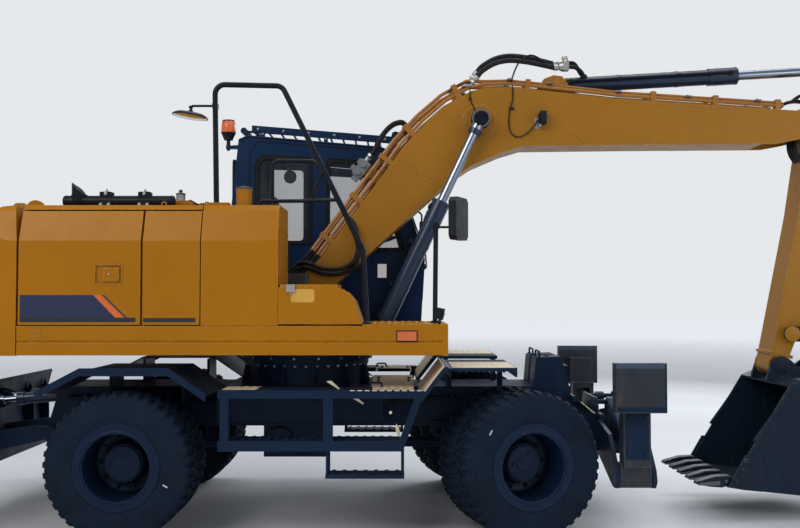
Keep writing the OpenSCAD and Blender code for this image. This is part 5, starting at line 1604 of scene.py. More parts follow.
def puff(obj, cap, pressure=3.5):
    """Lets cloth under pressure fill the pad, with each point moved by no more than cap metres."""
    start = [vert.co.copy() for vert in obj.data.vertices]
    modifier = obj.modifiers.new("fill", "CLOTH")
    modifier.settings.use_pressure = True
    modifier.settings.uniform_pressure_force = pressure
    modifier.settings.effector_weights.gravity = 0.0
    modifier.settings.quality = 4
    scene = bpy.context.scene
    for step in range(1, 13):
        scene.frame_set(step)
    graph = bpy.context.evaluated_depsgraph_get()
    moved = [vert.co.copy() for vert in obj.evaluated_get(graph).data.vertices]
    obj.modifiers.remove(modifier)
    scene.frame_set(1)
    for vert, a, b in zip(obj.data.vertices, start, moved):
        shift = b - a
        if shift.length > cap:
            shift = shift.normalized() * cap
        vert.co = a + shift
    obj.data.update()


def seat_cushion_at(u, w, h):
    return (-120 + w, SEAT_Y + u, 1858 + h)


def seat_back_at(u, w, h):
    lean = Vector((-90, 0, 545)).normalized()
    out = Vector((545, 0, 90)).normalized()
    middle = Vector((-345, SEAT_Y, 2170))
    p = middle + lean * w + out * h
    return (p.x, p.y + u, p.z)


def head_at(u, w, h):
    lean = Vector((-15, 0, 200)).normalized()
    out = Vector((200, 0, 15)).normalized()
    p = Vector((-381, SEAT_Y, 2542)) + lean * w + out * h
    return (p.x, p.y + u, p.z)


for name, place, width, length, thick, crown, grooves, cap_m in (
    ("seat_cushion", seat_cushion_at, 440, 440, 78, 18, (-0.32, 0.3), 0.006),
    ("seat_back", seat_back_at, 420, 520, 80, 14, (-0.4, 0.0, 0.4), 0.006),
    ("seat_head", head_at, 240, 180, 62, 10, (), 0.005)
):
    pad = cushion(place, width, length, thick, crown, grooves).done(
        name, seat_cloth, "upper", "seat_cover", 60, ("seat",) if name == "seat_cushion" else ()
    )
    puff(pad, cap_m)
    piping = Piece()
    pad_edge(piping, place, width, length)
    piping.done(name + "_piping", seat_side, "upper", "seat_cover")

seat_frame = Piece()
for k in range(7):
    z = 1500 + k * 36
    grow = 0 if k % 2 else 14
    seat_frame.box(-290 - grow, 50 + grow, SEAT_Y - 150 - grow, SEAT_Y + 150 + grow, z, z + 36, 8)
seat_frame.box(-330, 90, SEAT_Y - 190, SEAT_Y + 190, FLOOR_Z + 1, 1500, 6)
seat_frame.box(-330, 100, SEAT_Y - 205, SEAT_Y + 205, 1750, 1826, 14)
for y in (SEAT_Y - 60, SEAT_Y + 60):
    seat_frame.rod((-370, y, 2420), (-378, y, 2480), 7, 12)
seat_frame.done("seat_frame", grey_trim, "upper", "seat_cover")
shell = Piece()
shell.slab([(-392, 1915), (-380, 1915), (-468, 2440), (-480, 2430)], SEAT_Y - 190, SEAT_Y + 190, 5)
shell.done("seat_shell", trim, "upper", "seat_cover")

cabin = Piece()
for s in (-1, 1):
    y = SEAT_Y + s * 310
    cabin.slab(
        [
            (-290, FLOOR_Z + 1), (240, FLOOR_Z + 1), (252, 1700), (255, 1985), (200, 2020), (-250, 2005),
            (-296, 1960)
        ],
        y - 56, y + 56, 12
    )
    cabin.box(-270, -20, y - 48, y + 48, 2004, 2044, 16)
cabin.done("consoles", grey_trim, "upper", "cab_plastic")
levers = Piece()
for s in (-1, 1):
    y = SEAT_Y + s * 310
    levers.lathe(
        [(0, 46), (14, 42), (22, 30), (34, 32), (42, 22), (54, 24), (62, 15), (72, 12)], (196, y, 2012),
        (0.07, 0, 1), 28
    )
    levers.sweep([(200, y, 2075), (206, y, 2130), (212, y, 2160), (216, y, 2225)], [10, 12, 21, 17], 16)
    levers.box(198, 236, y - 20, y + 20, 2216, 2248, 9)
    for k in range(4):
        levers.rod((60 + k * 28, y + s * 24, 2012), (60 + k * 28, y + s * 24, 2026), 9, 14, 2)
for y in (SEAT_Y - 70, SEAT_Y + 70):
    levers.box(560, 690, y - 42, y + 42, 1520, 1532, 4)
    levers.box(600, 640, y - 8, y + 8, FLOOR_Z, 1524, 2)
    levers.sweep([(640, y, 1530), (620, y, 1640), (590, y, 1760)], 9, 10)
    levers.rod((590, y - 6, 1752), (588, y - 6, 1790), 15, 14, 3)
levers.done("levers", trim, "upper", "cab_plastic")
column = Piece()
column.slab(
    [
        (700, FLOOR_Z + 1), (830, FLOOR_Z + 1), (812, 1560), (640, 2110), (560, 2150), (540, 2100),
        (676, 1640)
    ],
    SEAT_Y - 48, SEAT_Y + 48, 16
)
tilt = Vector((-math.sin(math.radians(16)), 0, math.cos(math.radians(16))))
hub_at = Vector((556, SEAT_Y, 2212))
flat_x = Vector(LEFT).cross(tilt).normalized()
flat_y = Vector(LEFT)
column.lathe([(-30, 26), (-8, 52), (4, 56), (12, 44), (16, 20), (16, 0)], hub_at, tilt, 28)
for t in (turn + math.pi / 2 for turn in turns(3)):
    out = math.cos(t) * flat_x + math.sin(t) * flat_y
    column.sweep(
        [hub_at + out * 40 - tilt * 4, hub_at + out * 120, hub_at + out * 174 + tilt * 4], [13, 10, 9], 10
    )
hoop(column, circle(hub_at + tilt * 4, 176, flat_x, flat_y, 56), 13, 12)
column.sweep(
    [(610, SEAT_Y - 40, 2090), (600, SEAT_Y - 130, 2150), (600, SEAT_Y - 160, 2156)], [7, 6, 9], 10
)
column.done("steering_wheel", trim, "upper", "cab_plastic", 40, ("controls",))
monitor = Piece()
monitor.box(434, 474, 440, 644, 2140, 2302, 10)
monitor.rod((450, 477, FLOOR_Z + 2), (450, 477, 2145), 18, 20)
monitor.lathe([(0, 34), (10, 34), (22, 20)], (450, 477, 2118), UP, 20)
monitor.box(430, 436, 452, 632, 2160, 2172, 2)
monitor.done("monitor", trim, "upper", "cab_plastic")
display = Piece()
display.box(430.5, 434.5, 456, 628, 2178, 2290, 1)
display.done("monitor_screen", screen, "upper", "cab_plastic")
monitor_back = Piece()
monitor_back.box(474, 477, 462, 622, 2162, 2282, 1)
monitor_back.done(
    "monitor_back_panel", plastic("pale_panel", (0.24, 0.30, 0.38), 0.45), "upper", "cab_plastic"
)
mat = Piece()
mat.box(300, 880, 450, 1160, FLOOR_Z + 0.5, FLOOR_Z + 9, 3)
for k in range(12):
    mat.box(330 + k * 44, 350 + k * 44, 480, 1130, FLOOR_Z + 8, FLOOR_Z + 12, 1.5)
mat.done("floor_mat", seal_rubber, "upper", "cab_plastic")
fan = Piece()
FAN_AT, FAN_AIM = Vector((-205, 440, 2775)), Vector((0.4, 1, 0)).normalized()
fan.lathe([(0, 52), (10, 58), (30, 58), (40, 50), (42, 30), (42, 0)], FAN_AT, FAN_AIM, 28)
for k in range(5):
    bead_ring(fan, FAN_AT + FAN_AIM * 43, FAN_AIM, 12 + k * 9, 1.8, 24)
fan.sweep([FAN_AT, FAN_AT + Vector((-10, -16, 60)), FAN_AT + Vector((-10, -20, 260))], 8, 10)
fan.done("cab_fan", grey_trim, "upper", "cab_plastic")
extinguisher = Piece()
extinguisher.lathe(
    [(0, 30), (4, 44), (180, 44), (200, 34), (214, 16), (232, 16)], (-20, 468, 1990), UP, 28
)
extinguisher.done("red_bottle", red_plastic, "upper")
extinguisher = Piece()
extinguisher.box(-30, 26, 456, 480, 2222, 2246, 4)
extinguisher.box(-76, 36, 418, 424, 1990, 2160, 2)
for z in (2030, 2130):
    extinguisher.lathe([(0, 45), (0, 47), (10, 47), (10, 45)], (-20, 468, z), UP, 28, closed=True)
extinguisher.done("bottle_bracket", trim, "upper", "cab_plastic")
liner = Piece()
for y in (421, 1186):
    s = 1 if y < 800 else -1
    liner.box(-640, 20, *sorted((y, y + s * 14)), 1470, 2120, 6)
liner.box(-650, -640, 440, 1170, 1470, 2280, 4)
for x in (-560, -300, 0, 300):
    liner.box(x, x + 180, 460, 1150, 3128 - (x + 560) * 0.0775 - 66, 3128 - (x + 560) * 0.0775 - 60, 2)
liner.box(-640, -466, 1168, 1186, 2130, 3040, 6)
liner.done("cab_liner_panels", cab_liner, "upper", "cab_plastic")
visor = Piece()
visor.box(470, 600, 470, 1130, 2930, 2938, 3)
visor.done("sun_blind", seat_side, "upper", "cab_plastic")

# Boom: weld seams, pin caps, grease lines, clips, work light, hoses and valve block

BOOM_HW = 175
BOOM_FOOT = (30, 1760)
BOOM_BASE, BOOM_EYE = (600, 1420), (1420, 3150)
ARM_BASE, ARM_EYE = (2066, 3477), (4690, 3630)
LINK_PIN, ROCKER_PIN = (4410, 1420), (3930, 1420)
BUCKET_PIN = (3850, 0, 1170)
ARM_PIN = (4350, 0, 3210)


def pin_at(pin, y):
    """The point at y on a pin's line; the pin's first number is its x and its last one its z."""
    return (pin[0], y, pin[-1])


boom_welds = Piece()
for s in (-1, 1):
    y = s * (BOOM_HW + 0.5)
    for dx, dz in ((0, 0), (-14, -20)):
        bead(boom_welds, (770 + dx, y, 2858 + dz), (1108 + dx, y, 2620 + dz), 3.4)
    bead(boom_welds, (1926, y, 3256), (2268, y, 2984), 3.0)
    bead_ring(boom_welds, pin_at(BOOM_EYE, y + s * 8), LEFT, 118, 4)
    bead_ring(boom_welds, pin_at(BOOM_EYE, y), LEFT, 142, 5)
    bead_ring(boom_welds, pin_at(BOOM_FOOT, y), LEFT, 96, 5)
    for x0, z0, x1, z1 in ((2600, 3312, 3560, 3248), (2600, 2975, 3640, 2982)):
        bead(boom_welds, (x0, y, z0), (x1, y, z1), 2.6)
    bead_ring(boom_welds, pin_at(ARM_PIN, s * 176), LEFT, 98, 5)
boom_welds.done("boom_welds", ochre_arm, "boom", "ochre_paint", 60)

foot_cap = Piece()
for s in (-1, 1):
    face = [(0, 68), (8, 68), (10, 64), (10, 30), (14, 27), (14, 0)]
    foot_cap.lathe(face, pin_at(BOOM_FOOT, s * 223), (0, s, 0), 36)
    for t in turns(3):
        x, z = BOOM_FOOT[0] + 48 * math.cos(t), BOOM_FOOT[1] + 48 * math.sin(t)
        foot_cap.nut((x, s * 232, z), (0, s, 0), 17, 11)
foot_cap.done("boom_foot_caps", ochre, "boom", "ochre_paint")

tip_cap = Piece()
for s in (-1, 1):
    y = s * 187
    face = [(0, 78), (10, 78), (13, 74), (13, 40), (18, 36), (18, 0)]
    tip_cap.lathe(face, pin_at(ARM_PIN, y), (0, s, 0), 40)
    tip_cap.box(4262, 4300, *sorted((y, y + s * 14)), 3194, 3226, 3)
    for k in (-1, 1):
        tip_cap.nut((4275, y + s * 13, 3210 + k * 8), (0, s, 0), 12, 8)
    tip_cap.lathe([(0, 48), (8, 48), (10, 44), (10, 0)], pin_at(ARM_BASE, s * 96), (0, s, 0), 28)
    tip_cap.nut(pin_at(ARM_BASE, s * 105), (0, s, 0), 20, 12)
tip_cap.done("boom_tip_caps", ochre_arm, "boom", "ochre_paint")

boom_pin_cap = Piece()
for s in (-1, 1):
    y = s * 331
    face = [(0, 58), (8, 60), (14, 56), (14, 34), (9, 30), (9, 14), (14, 10), (14, 0)]
    for profile in (face, [(-88, 74), (-84, 78), (-60, 78), (-56, 74)]):
        boom_pin_cap.lathe(profile, pin_at(BOOM_EYE, y), (0, s, 0), 40)
    for t in turns(4, 0.5):
        x, z = BOOM_EYE[0] + 45 * math.cos(t), BOOM_EYE[1] + 45 * math.sin(t)
        boom_pin_cap.nut((x, y + s * 13, z), (0, s, 0), 13, 8)
boom_pin_cap.done("boom_pin_caps", black, "boom_rods", "cylinder_paint", 40)

# Thin grease line and the light's cable along the boom's right side
lines = Piece()
lines.sweep(
    spline(
        [
            (1348, -162, 3440), (1341, -182, 3404), (1344, -184, 3330), (1372, -186, 3262),
            (1392, -196, 3222)
        ],
        8
    ),
    5, 8
)
lines.sweep(
    spline(
        [
            (1690, -150, 3452), (1690, -180, 3420), (1690, -184, 3330), (1668, -184, 3250),
            (1658, -184, 3150), (1672, -186, 3062), (1726, -188, 3020), (1800, -190, 3046),
            (1858, -196, 3104), (1888, -206, 3150)
        ],
        8
    ),
    5, 8
)
lines.box(1660, 1700, -192, -174, 3246, 3262, 3)
lines.nut((1668, -190, 3254), (0, -1, 0), 10, 7)
lines.box(1330, 1352, -190, -174, 3330, 3342, 2)
lines.done("boom_thin_lines", hose_rubber, "boom", "pipe_paint", 50)

lamp_mount = Piece()
lamp_mount.box(1868, 1912, -183, -175, 3090, 3178, 3)
lamp_mount.box(1896, 1916, -226, -178, 3098, 3120, 4)
for z in (3104, 3162):
    lamp_mount.nut((1882, -183, z), (0, -1, 0), 15, 9)
lamp_mount.done("boom_lamp_mount", zinc, "boom", "ochre_paint")
boom_lamp = Piece()
boom_lamp.box(1905, 1955, -262, -186, 3120, 3222, 12)
for k in range(4):
    boom_lamp.box(1893, 1908, -256, -192, 3134 + k * 20, 3140 + k * 20, 1)
boom_lamp.done("boom_lamp_housing", trim, "boom", "black_paint")
boom_lamp = Piece()
boom_lamp.box(1953, 1958, -254, -194, 3130, 3212, 4)
boom_lamp.done("boom_lamp_lens", lamp_glass, "boom", "window_glass")

# Hoses over the boom's top to the arm cylinder, with elbows, and a thin cable in an arch
for k, (y0, y1, lift) in enumerate(((-132, -92, 0), (-104, -40, 44))):
    hose = Piece()
    start = Vector((1400, y0, 3522 + lift))
    path = [start, (1452, y0, 3580 + lift), (1560, y0 + 4, 3642 + lift), (1680, y0 + 8, 3664 + lift)]
    path += [(1820, y0 + 14, 3652 + lift), (1950, (y0 + y1) / 2, 3628 + lift), (2046, y1, 3612 + lift)]
    ribbed(hose, path, 20, 12, 2.2, 14)
    hose.done("boom_hose_%d" % (k + 1), hose_rubber, "boom", "black_paint", 40)
    ends = Piece()
    hose_end(ends, (2040, y1, 3612 + lift), (1, 0.05, 0.05), 20)
    back = hose_end(ends, (1404, y0, 3528 + lift), (-0.62, 0, -0.78), 20)
    ends.sweep(spline([back, back + Vector((-26, 0, -32)), (1318, y0 + 6, 3456)], 6), 15, 12)
    ends.lathe([(0, 33), (30, 33), (33, 29), (33, 24)], (2102, y1, 3614 + lift), AHEAD, 6)
    ends.box(2118, 2162, y1 - 34, y1 + 34, 3586 + lift, 3652 + lift, 5)
    ends.nut((2140, y1, 3652 + lift), UP, 40, 24)
    ends.done("boom_hose_ends_%d" % (k + 1), zinc, "boom", "black_paint")
    elbow = Piece()
    elbow.sweep(
        spline(
            [
                (2160, y1, 3620 + lift), (2220, y1, 3612 + lift), (2268, y1 * 0.8, 3584),
                (2300, y1 * 0.55, 3545)
            ],
            8
        ),
        17, 14
    )
    elbow.lathe([(0, 24), (28, 24), (30, 20)], (2292, y1 * 0.58, 3556), (0.5, 0, -0.8), 6)
    elbow.done("boom_elbow_%d" % (k + 1), black, "boom", "pipe_paint", 40)
arch = Piece()
arch.sweep(
    spline(
        [
            (1680, -150, 3455), (1690, -156, 3512), (1742, -150, 3634), (1830, -140, 3702),
            (1912, -128, 3684), (1990, -116, 3620), (2030, -108, 3598)
        ],
        8
    ),
    7, 10
)
arch.sweep(
    spline([(1160, -150, 3392), (1220, -156, 3440), (1290, -150, 3470), (1350, -150, 3475)], 6), 6, 8
)
arch.done("boom_cable_arch", hose_rubber, "boom", "black_paint", 50)

# Caps and bolts of the pipe clamps on the boom
TOP_CLAMPS = (
    (1300, 3442, -24), (1672, 3502, 3), (1995, 3470, 5), (2560, 3400, 3.4), (3130, 3362, 3.4),
    (3700, 3330, 3.4)
)
clamp_caps = Piece()
for x, z, lean in TOP_CLAMPS:
    for s in (-1, 1):
        clamp_caps.box(x - 24, x + 24, s * 134 - 40, s * 134 + 40, z - 6, z + 3, 3)
        clamp_caps.nut((x, s * 134, z + 2), UP, 17, 13)
clamp_caps.done("boom_clamp_caps", cast_grey, "boom", "pipe_paint")

# Grey valve block over the rear slope, its bracket and its two hoses
slope = Vector((485, 0, 648)).normalized()
rise = Vector((-648, 0, 485)).normalized()
base = Vector((492, 0, 2528))


def on_slope(along, y, up):
    p = base + slope * along + rise * up
    return (p.x, y, p.z)


def slope_block(piece, a0, a1, y0, y1, u0, u1, r):
    rings = [
        piece.ring([on_slope(a, y0, u0), on_slope(a, y1, u0), on_slope(a, y1, u1), on_slope(a, y0, u1)])
        for a in (a0, a1)
    ]
    piece.soften(piece.skin(rings), r)


stand = Piece()
slope_block(stand, 120, 260, -86, 86, -2, 6, 2)
for y in (-70, 62):
    slope_block(stand, 150, 230, y, y + 8, 4, 152, 2)
stand.done("valve_bracket", ochre_arm, "boom", "ochre_paint")
valve = Piece()
slope_block(valve, 100, 250, -86, 40, 138, 226, 6)
slope_block(valve, 122, 168, -60, 10, 222, 262, 5)
slope_block(valve, 196, 236, -74, -10, 222, 246, 5)
slope_block(valve, 60, 104, -70, -30, 150, 205, 8)
for a, y in ((120, -70), (230, -70), (120, 26), (230, 26)):
    valve.nut(on_slope(a, y, 225), rise, 17, 12)
for a in (130, 205):
    valve.lathe([(0, 22), (20, 22), (22, 18), (34, 18)], on_slope(a, -84, 180), (0, -1, 0), 6)
valve.done("valve_block", cast_grey, "boom", "black_paint")
for k, y in enumerate((-58, -8)):
    ends = Piece()
    end = hose_end(ends, on_slope(248, y, 190), slope, 19)
    ends.done("valve_hose_end_%d" % (k + 1), steel, "boom", "black_paint")
    hose = Piece()
    route = [end, end + slope * 50, end + slope * 180 + rise * 22, end + slope * 300 + rise * 10]
    route += [
        end + slope * 370 - rise * 40, end + slope * 360 - rise * 104, end + slope * 310 - rise * 128
    ]
    ribbed(hose, route, 18, 11, 1.8, 14)
    hose.done("valve_hose_%d" % (k + 1), hose_rubber, "boom", "black_paint", 40)

# Two ribbed and four plain hoses from the upper body to the pipes at the boom's foot
for k, (y, drop) in enumerate(((-236, 0), (-206, 40))):
    hose = Piece()
    route = [
        (-60, y + 30, 1985 - drop), (20, y - 4, 1992 - drop), (150, y - 18, 1946 - drop),
        (291, y - 22, 1944 - drop)
    ]
    route += [
        (392, y - 16, 1998 - drop), (432, y - 8, 2090 - drop), (424, y, 2200 - drop),
        (398, y + 14, 2300 - drop), (362, y + 34, 2352 - drop)
    ]
    ribbed(hose, route, 17, 11, 2.0, 14)
    hose.done(
        "foot_hose_%d" % (k + 1), hose_rubber, ("upper", "boom", v(-30, 0, 1980), v(330, 0, 2050)),
        "black_paint", 40
    )
foot_lines = Piece()
for side in (-1, 1):
    for y, route in (
        (
            118,
            [(47, 2100), (14, 2056), (-60, 1992), (-160, 1905), (-245, 1770), (-270, 1600), (-240, 1425)]
        ),
        (150, [(94, 2060), (64, 2020), (0, 1962), (-82, 1895), (-160, 1790), (-205, 1640), (-200, 1425)])
    ):
        foot_lines.sweep(spline([(x, side * y, z) for x, z in route], 8), 15, 12)
        for (x, z), (tx, tz) in ((route[0], (-0.6, -0.8)), (route[-1], (0, 1))):
            foot_lines.lathe([(-6, 20), (0, 23), (26, 23), (30, 17)], (x, side * y, z), (tx, 0, tz), 6)
foot_lines.done(
    "foot_hoses", hose_rubber, ("upper", "boom", v(-230, 0, 1640), v(40, 0, 2050)), "black_paint", 40
)

# Cylinders: gland collars with bolts, straps, ports and hard pipes


def along(p, q, d, y):
    a, b = Vector((p[0], 0, p[1])), Vector((q[0], 0, q[1]))
    u = (b - a).normalized()
    at = a + u * d
    return Vector((at.x, y, at.z)), u


def dress_cylinder(name, p, q, y, d, length, body, out):
    """Collar, gland bolts, straps, ports and a hard pipe on a barrel; out is the side of the pipe."""
    piece = Piece()
    for back, wide, grow in ((0, 20, 10), (34, 60, 6), (150, 14, 9)):
        at, u = along(p, q, length - back - wide, y)
        r = d / 2 + grow
        piece.lathe([(0, r - 6), (2, r), (wide - 2, r), (wide, r - 6)], at, u, 40)
    face, u = along(p, q, length, y)
    side = Vector(LEFT)
    other = u.cross(side).normalized()
    for t in turns(8):
        piece.nut(face + (math.cos(t) * side + math.sin(t) * other) * d * 0.47, u, 13, 9)
    piece.lathe([(0, d * 0.40), (6, d * 0.40), (9, d * 0.36)], face, u, 32)
    for part in (0.34, 0.66):
        at, _ = along(p, q, length * part, y)
        r = d / 2 + 3
        piece.lathe([(0, r - 4), (0, r), (26, r), (26, r - 4)], at, u, 40, closed=True)
    piece.done(name + "_collars", cylinder_blue, body, "cylinder_paint", 40)
    pipe = Piece()
    n = (other * out[0] + side * out[1]).normalized()
    lift = d / 2 + 22
    start, _ = along(p, q, d * 0.95, y)
    end, _ = along(p, q, length - 70, y)
    points = [
        start + n * (d / 2 - 4), start + n * lift, start + n * lift + u * 60, end + n * lift - u * 60
    ]
    points += [end + n * lift, end + n * (d / 2 - 4)]
    pipe.sweep(rounded(points, 26, 5), 12, 12)
    for at in (start, end):
        pipe.lathe([(0, 26), (16, 26), (19, 22)], at + n * (d / 2 - 4), n, 20)
    for part in (0.34, 0.66):
        at, _ = along(p, q, length * part + 13, y)
        c = at + n * (d / 2 + 12)
        pipe.lathe([(-16, 17), (16, 17)], c + n * 10, u, 4)
        pipe.nut(c + n * 26, n, 13, 9)
    pipe.done(name + "_pipe", black, body, "cylinder_paint", 40)


for s, tag in ((-1, "right"), (1, "left")):
    dress_cylinder(
        "boom_cylinder_" + tag, BOOM_BASE, BOOM_EYE, s * 276, 132, 1173, "boom_barrels", (0.9, s * 0.35)
    )
dress_cylinder("arm_cylinder", ARM_BASE, ARM_EYE, 0, 128, 1515, "arm_barrel", (0.2, -0.98))
arm_up = Vector((ARM_PIN[0] - BUCKET_PIN[0], 0, ARM_PIN[2] - BUCKET_PIN[2])).normalized()
arm_out = Vector((arm_up.z, 0, -arm_up.x))
bucket_base_v = Vector(BUCKET_PIN) + arm_up * 1750 + arm_out * 330
BUCKET_BASE = (bucket_base_v.x, bucket_base_v.z)
dress_cylinder("bucket_cylinder", BUCKET_BASE, LINK_PIN, 0, 116, 960, "bucket_barrel", (0.2, 0.98))

rod_ends = Piece()
for s in (-1, 1):
    at, u = along(BOOM_BASE, BOOM_EYE, (Vector(BOOM_EYE) - Vector(BOOM_BASE)).length - 72 - 62, s * 276)
    rod_ends.lathe([(0, 50), (4, 54), (40, 54), (44, 50)], at, u, 36)
rod_ends.done("boom_rod_collars", cylinder_blue, "boom_rods", "cylinder_paint", 40)

# Arm: weld beads, hose loops and pipes, pin plates and collar


def on_arm(a, o, y=0.0):
    p = Vector(BUCKET_PIN) + arm_up * a + arm_out * o
    return Vector((p.x, y, p.z))


arm_bits = Piece()
for s in (-1, 1):
    y = s * 145.5
    bead(arm_bits, on_arm(313, 112, y), on_arm(1750, 236, y), 3)
    bead(arm_bits, on_arm(120, -72, y), on_arm(1229, -114, y), 3)
    bead(arm_bits, on_arm(1229, -114, y), on_arm(1834, -164, y), 3)
    bead_ring(arm_bits, on_arm(0, 0, y), LEFT, 88, 4)
    bead_ring(arm_bits, pin_at(ARM_PIN, s * 147), LEFT, 70, 3)
    arm_bits.lathe([(0, 62), (6, 62), (8, 58), (8, 0)], pin_at(ROCKER_PIN, s * 221), (0, s, 0), 32)
    arm_bits.lathe([(0, 46), (8, 46), (10, 42), (10, 0)], pin_at(BUCKET_BASE, s * 91), (0, s, 0), 28)
for s in (-1, 1):
    rings = [
        arm_bits.ring([on_arm(a, o, y) for y in (s * 145, s * 151)])
        for a, o in ((40, -86), (40, 70), (86, 84), (86, -92))
    ]
    arm_bits.skin(rings + [rings[0]], closed=False, caps=False)
arm_bits.done("arm_welds", ochre_arm, "arm", "ochre_paint", 50)
collar = Piece()
outline = [(-146, -92), (146, -92), (146, 84), (-146, 84)]
rings = []
for a, grow in ((70, 0), (73, 3), (93, 3), (96, 0)):
    rings.append(
        collar.ring(
            [
                on_arm(a, o + math.copysign(grow, o) - (4 if o < 0 else -6), y + math.copysign(grow, y))
                for y, o in outline
            ]
        )
    )
collar.skin(rings)
collar.done("arm_collar", ochre_arm, "arm", "ochre_paint", 40)

arm_hoses = Piece()
for k, y in enumerate((-62, -22, 26, 66)):
    arm_hoses.sweep(
        spline(
            [
                on_arm(1980, -176, y), on_arm(1930, -214, y), on_arm(1850, -246 - 4 * k, y),
                on_arm(1760, -236, y), on_arm(1700, -186, y), on_arm(1690, -150, y)
            ],
            8
        ),
        15, 12
    )
arm_hoses.done("arm_hose_loops", hose_rubber, "arm", "black_paint", 50)
arm_pipes = Piece()
for y in (-118, -86, 86, 118):
    points = [
        on_arm(2290, 160, y), on_arm(2120, 344, y), on_arm(1990, 316, y), on_arm(1430, 262, y),
        on_arm(1400, 226, y)
    ]
    arm_pipes.sweep(rounded(points, 40, 5), 11, 12)
for a, o in ((2060, 324), (1860, 305), (1600, 277)):
    for s in (-1, 1):
        y0, y1 = s * 70, s * 134
        rings = [
            arm_pipes.ring(
                [
                    on_arm(a + d, o - 40, y0), on_arm(a + d, o - 40, y1), on_arm(a + d, o + 22, y1),
                    on_arm(a + d, o + 22, y0)
                ]
            )
            for d in (-14, 14)
        ]
        arm_pipes.soften(arm_pipes.skin(rings), 3)
        arm_pipes.nut(on_arm(a, o + 21, s * 102), arm_out, 15, 10)
arm_pipes.done("arm_pipes", pipe_ochre, "arm", "pipe_paint", 40)

# Hoses from the boom's pipes past the joint to the arm
for k, y in enumerate((-150, -118, 118, 150)):
    s = 1 if y > 0 else -1
    wide = s * (196 + abs(abs(y) - 118))
    hose = Piece()
    route = [(3985, y, 3318), (4050, y + s * 22, 3364), (4180, wide, 3392), (4330, wide, 3356)]
    route += [
        (4450, wide, 3262), (4510, wide - s * 10, 3140), on_arm(2020, 262, s * 172),
        on_arm(1960, 284, s * 146)
    ]
    hose.sweep(spline(route, 10), 14, 12)
    crossing = ("boom", "arm", v(4180, 0, 3380), v(4500, 0, 3130))
    hose.done("joint_hose_%d" % (k + 1), hose_rubber, crossing, "black_paint", 50)

# Bucket: wear strips, side cutters, weld beads, pin plates and rubbed tooth tips

BUCKET_HW = 530
bucket_bits = Piece()
for s in (-1, 1):
    cutter = [(3428, 500), (3344, 356), (3296, 268), (3340, 262), (3400, 330), (3470, 470), (3462, 498)]
    bucket_bits.slab(cutter, s * (BUCKET_HW - 2), s * (BUCKET_HW + 14), 3)
    for x, z in ((3350, 306), (3395, 390), (3432, 462)):
        bucket_bits.nut((x, s * (BUCKET_HW + 13), z), (0, s, 0), 24, 14)
    edge = [(3790, 1012), (3700, 880), (3600, 742), (3500, 606)]
    bucket_bits.sweep([(x, s * (BUCKET_HW - 8), z) for x, z in edge], 12, 10)
    bucket_bits.slab(
        [(3900, 190), (4060, 184), (4256, 238), (4236, 262), (4058, 212), (3900, 216)],
        s * (BUCKET_HW - 1), s * (BUCKET_HW + 9), 3
    )
    for ya in (152, 182):
        bead(bucket_bits, (3800, s * (ya + 1), 1046), (3870, s * (ya + 1), 1078), 6)
        bead(bucket_bits, (3870, s * (ya + 1), 1078), (4010, s * (ya + 1), 1082), 6)
        bead(bucket_bits, (4010, s * (ya + 1), 1082), (4180, s * (ya + 1), 1022), 6)
for y in (-390, -130, 130, 390):
    path = [(3500, 224), (3870, 186), (4062, 177), (4264, 231), (4416, 367), (4481, 560), (4456, 762)]
    for (xa, za), (xb, zb) in zip(path, path[1:]):
        a, b = Vector((xa, 0, za)), Vector((xb, 0, zb))
        n = (b - a).cross(Vector(LEFT)).normalized()
        rings = [
            bucket_bits.ring(
                [
                    q + Vector((0, y - 32, 0)), q + Vector((0, y + 32, 0)),
                    q + Vector((0, y + 28, 0)) + n * 9, q + Vector((0, y - 28, 0)) + n * 9
                ]
            )
            for q in (a, b)
        ]
        bucket_bits.skin(rings)
bucket_bits.done("bucket_wear_parts", bucket_blue, "bucket", "bucket_paint", 40)

pin_bits = Piece()
for s in (-1, 1):
    face = [(0, 70), (3, 70), (4.5, 67), (4.5, 30), (5, 27), (5, 0)]
    pin_bits.lathe(face, pin_at(BUCKET_PIN, s * 188), (0, s, 0), 36)
pin_bits.done("bucket_pin_caps", bucket_blue, "bucket", "bucket_paint", 40)

tooth_look = metal("tooth_steel", (0.16, 0.165, 0.175), 0.5, (6.0, 30.0, 6.0), 0.85)
teeth = Piece()
reach = BUCKET_HW - 20 - 50
for i in range(5):
    y = -reach + i * reach / 2
    top = [(3056, 273), (3066, 294), (3200, 333), (3304, 339), (3330, 334), (3200, 322), (3080, 284)]
    for dy in (-28, 0, 28):
        teeth.slab(top, y + dy - 8, y + dy + 8, 2)
    for s in (-1, 1):
        teeth.slab(
            [(3064, 266), (3150, 262), (3240, 268), (3240, 300), (3150, 292), (3070, 280)], y + s * 44,
            y + s * 47, 1
        )
        teeth.rod((3290, y + s * 44, 296), (3290, y + s * 50, 296), 13, 16, 2)
teeth.done("tooth_tips", tooth_look, "bucket", "bucket_paint", 40)
lip = Piece()
lip.slab(
    [(3286, 262), (3296, 250), (3420, 230), (3560, 216), (3560, 224), (3420, 240)], -BUCKET_HW + 22,
    BUCKET_HW - 22, 2
)
lip.done("bucket_lip", tooth_look, "bucket", "bucket_paint")
link_bits = Piece()
for s in (-1, 1):
    link_bits.lathe([(0, 50), (7, 50), (9, 46), (9, 0)], pin_at(LINK_PIN, s * 226), (0, s, 0), 30)
    link_bits.nut(pin_at(LINK_PIN, s * 234), (0, s, 0), 20, 12)
    link_bits.lathe([(0, 52), (4, 52), (6, 48), (6, 0)], pin_at(ROCKER_PIN, s * 222), (0, s, 0), 30)
link_bits.done("rocker_pin_caps", bucket_blue, "rocker", "bucket_paint", 40)

# Slew ring: bolts round the ring and in the upper body, and the weld and ribs of the drum

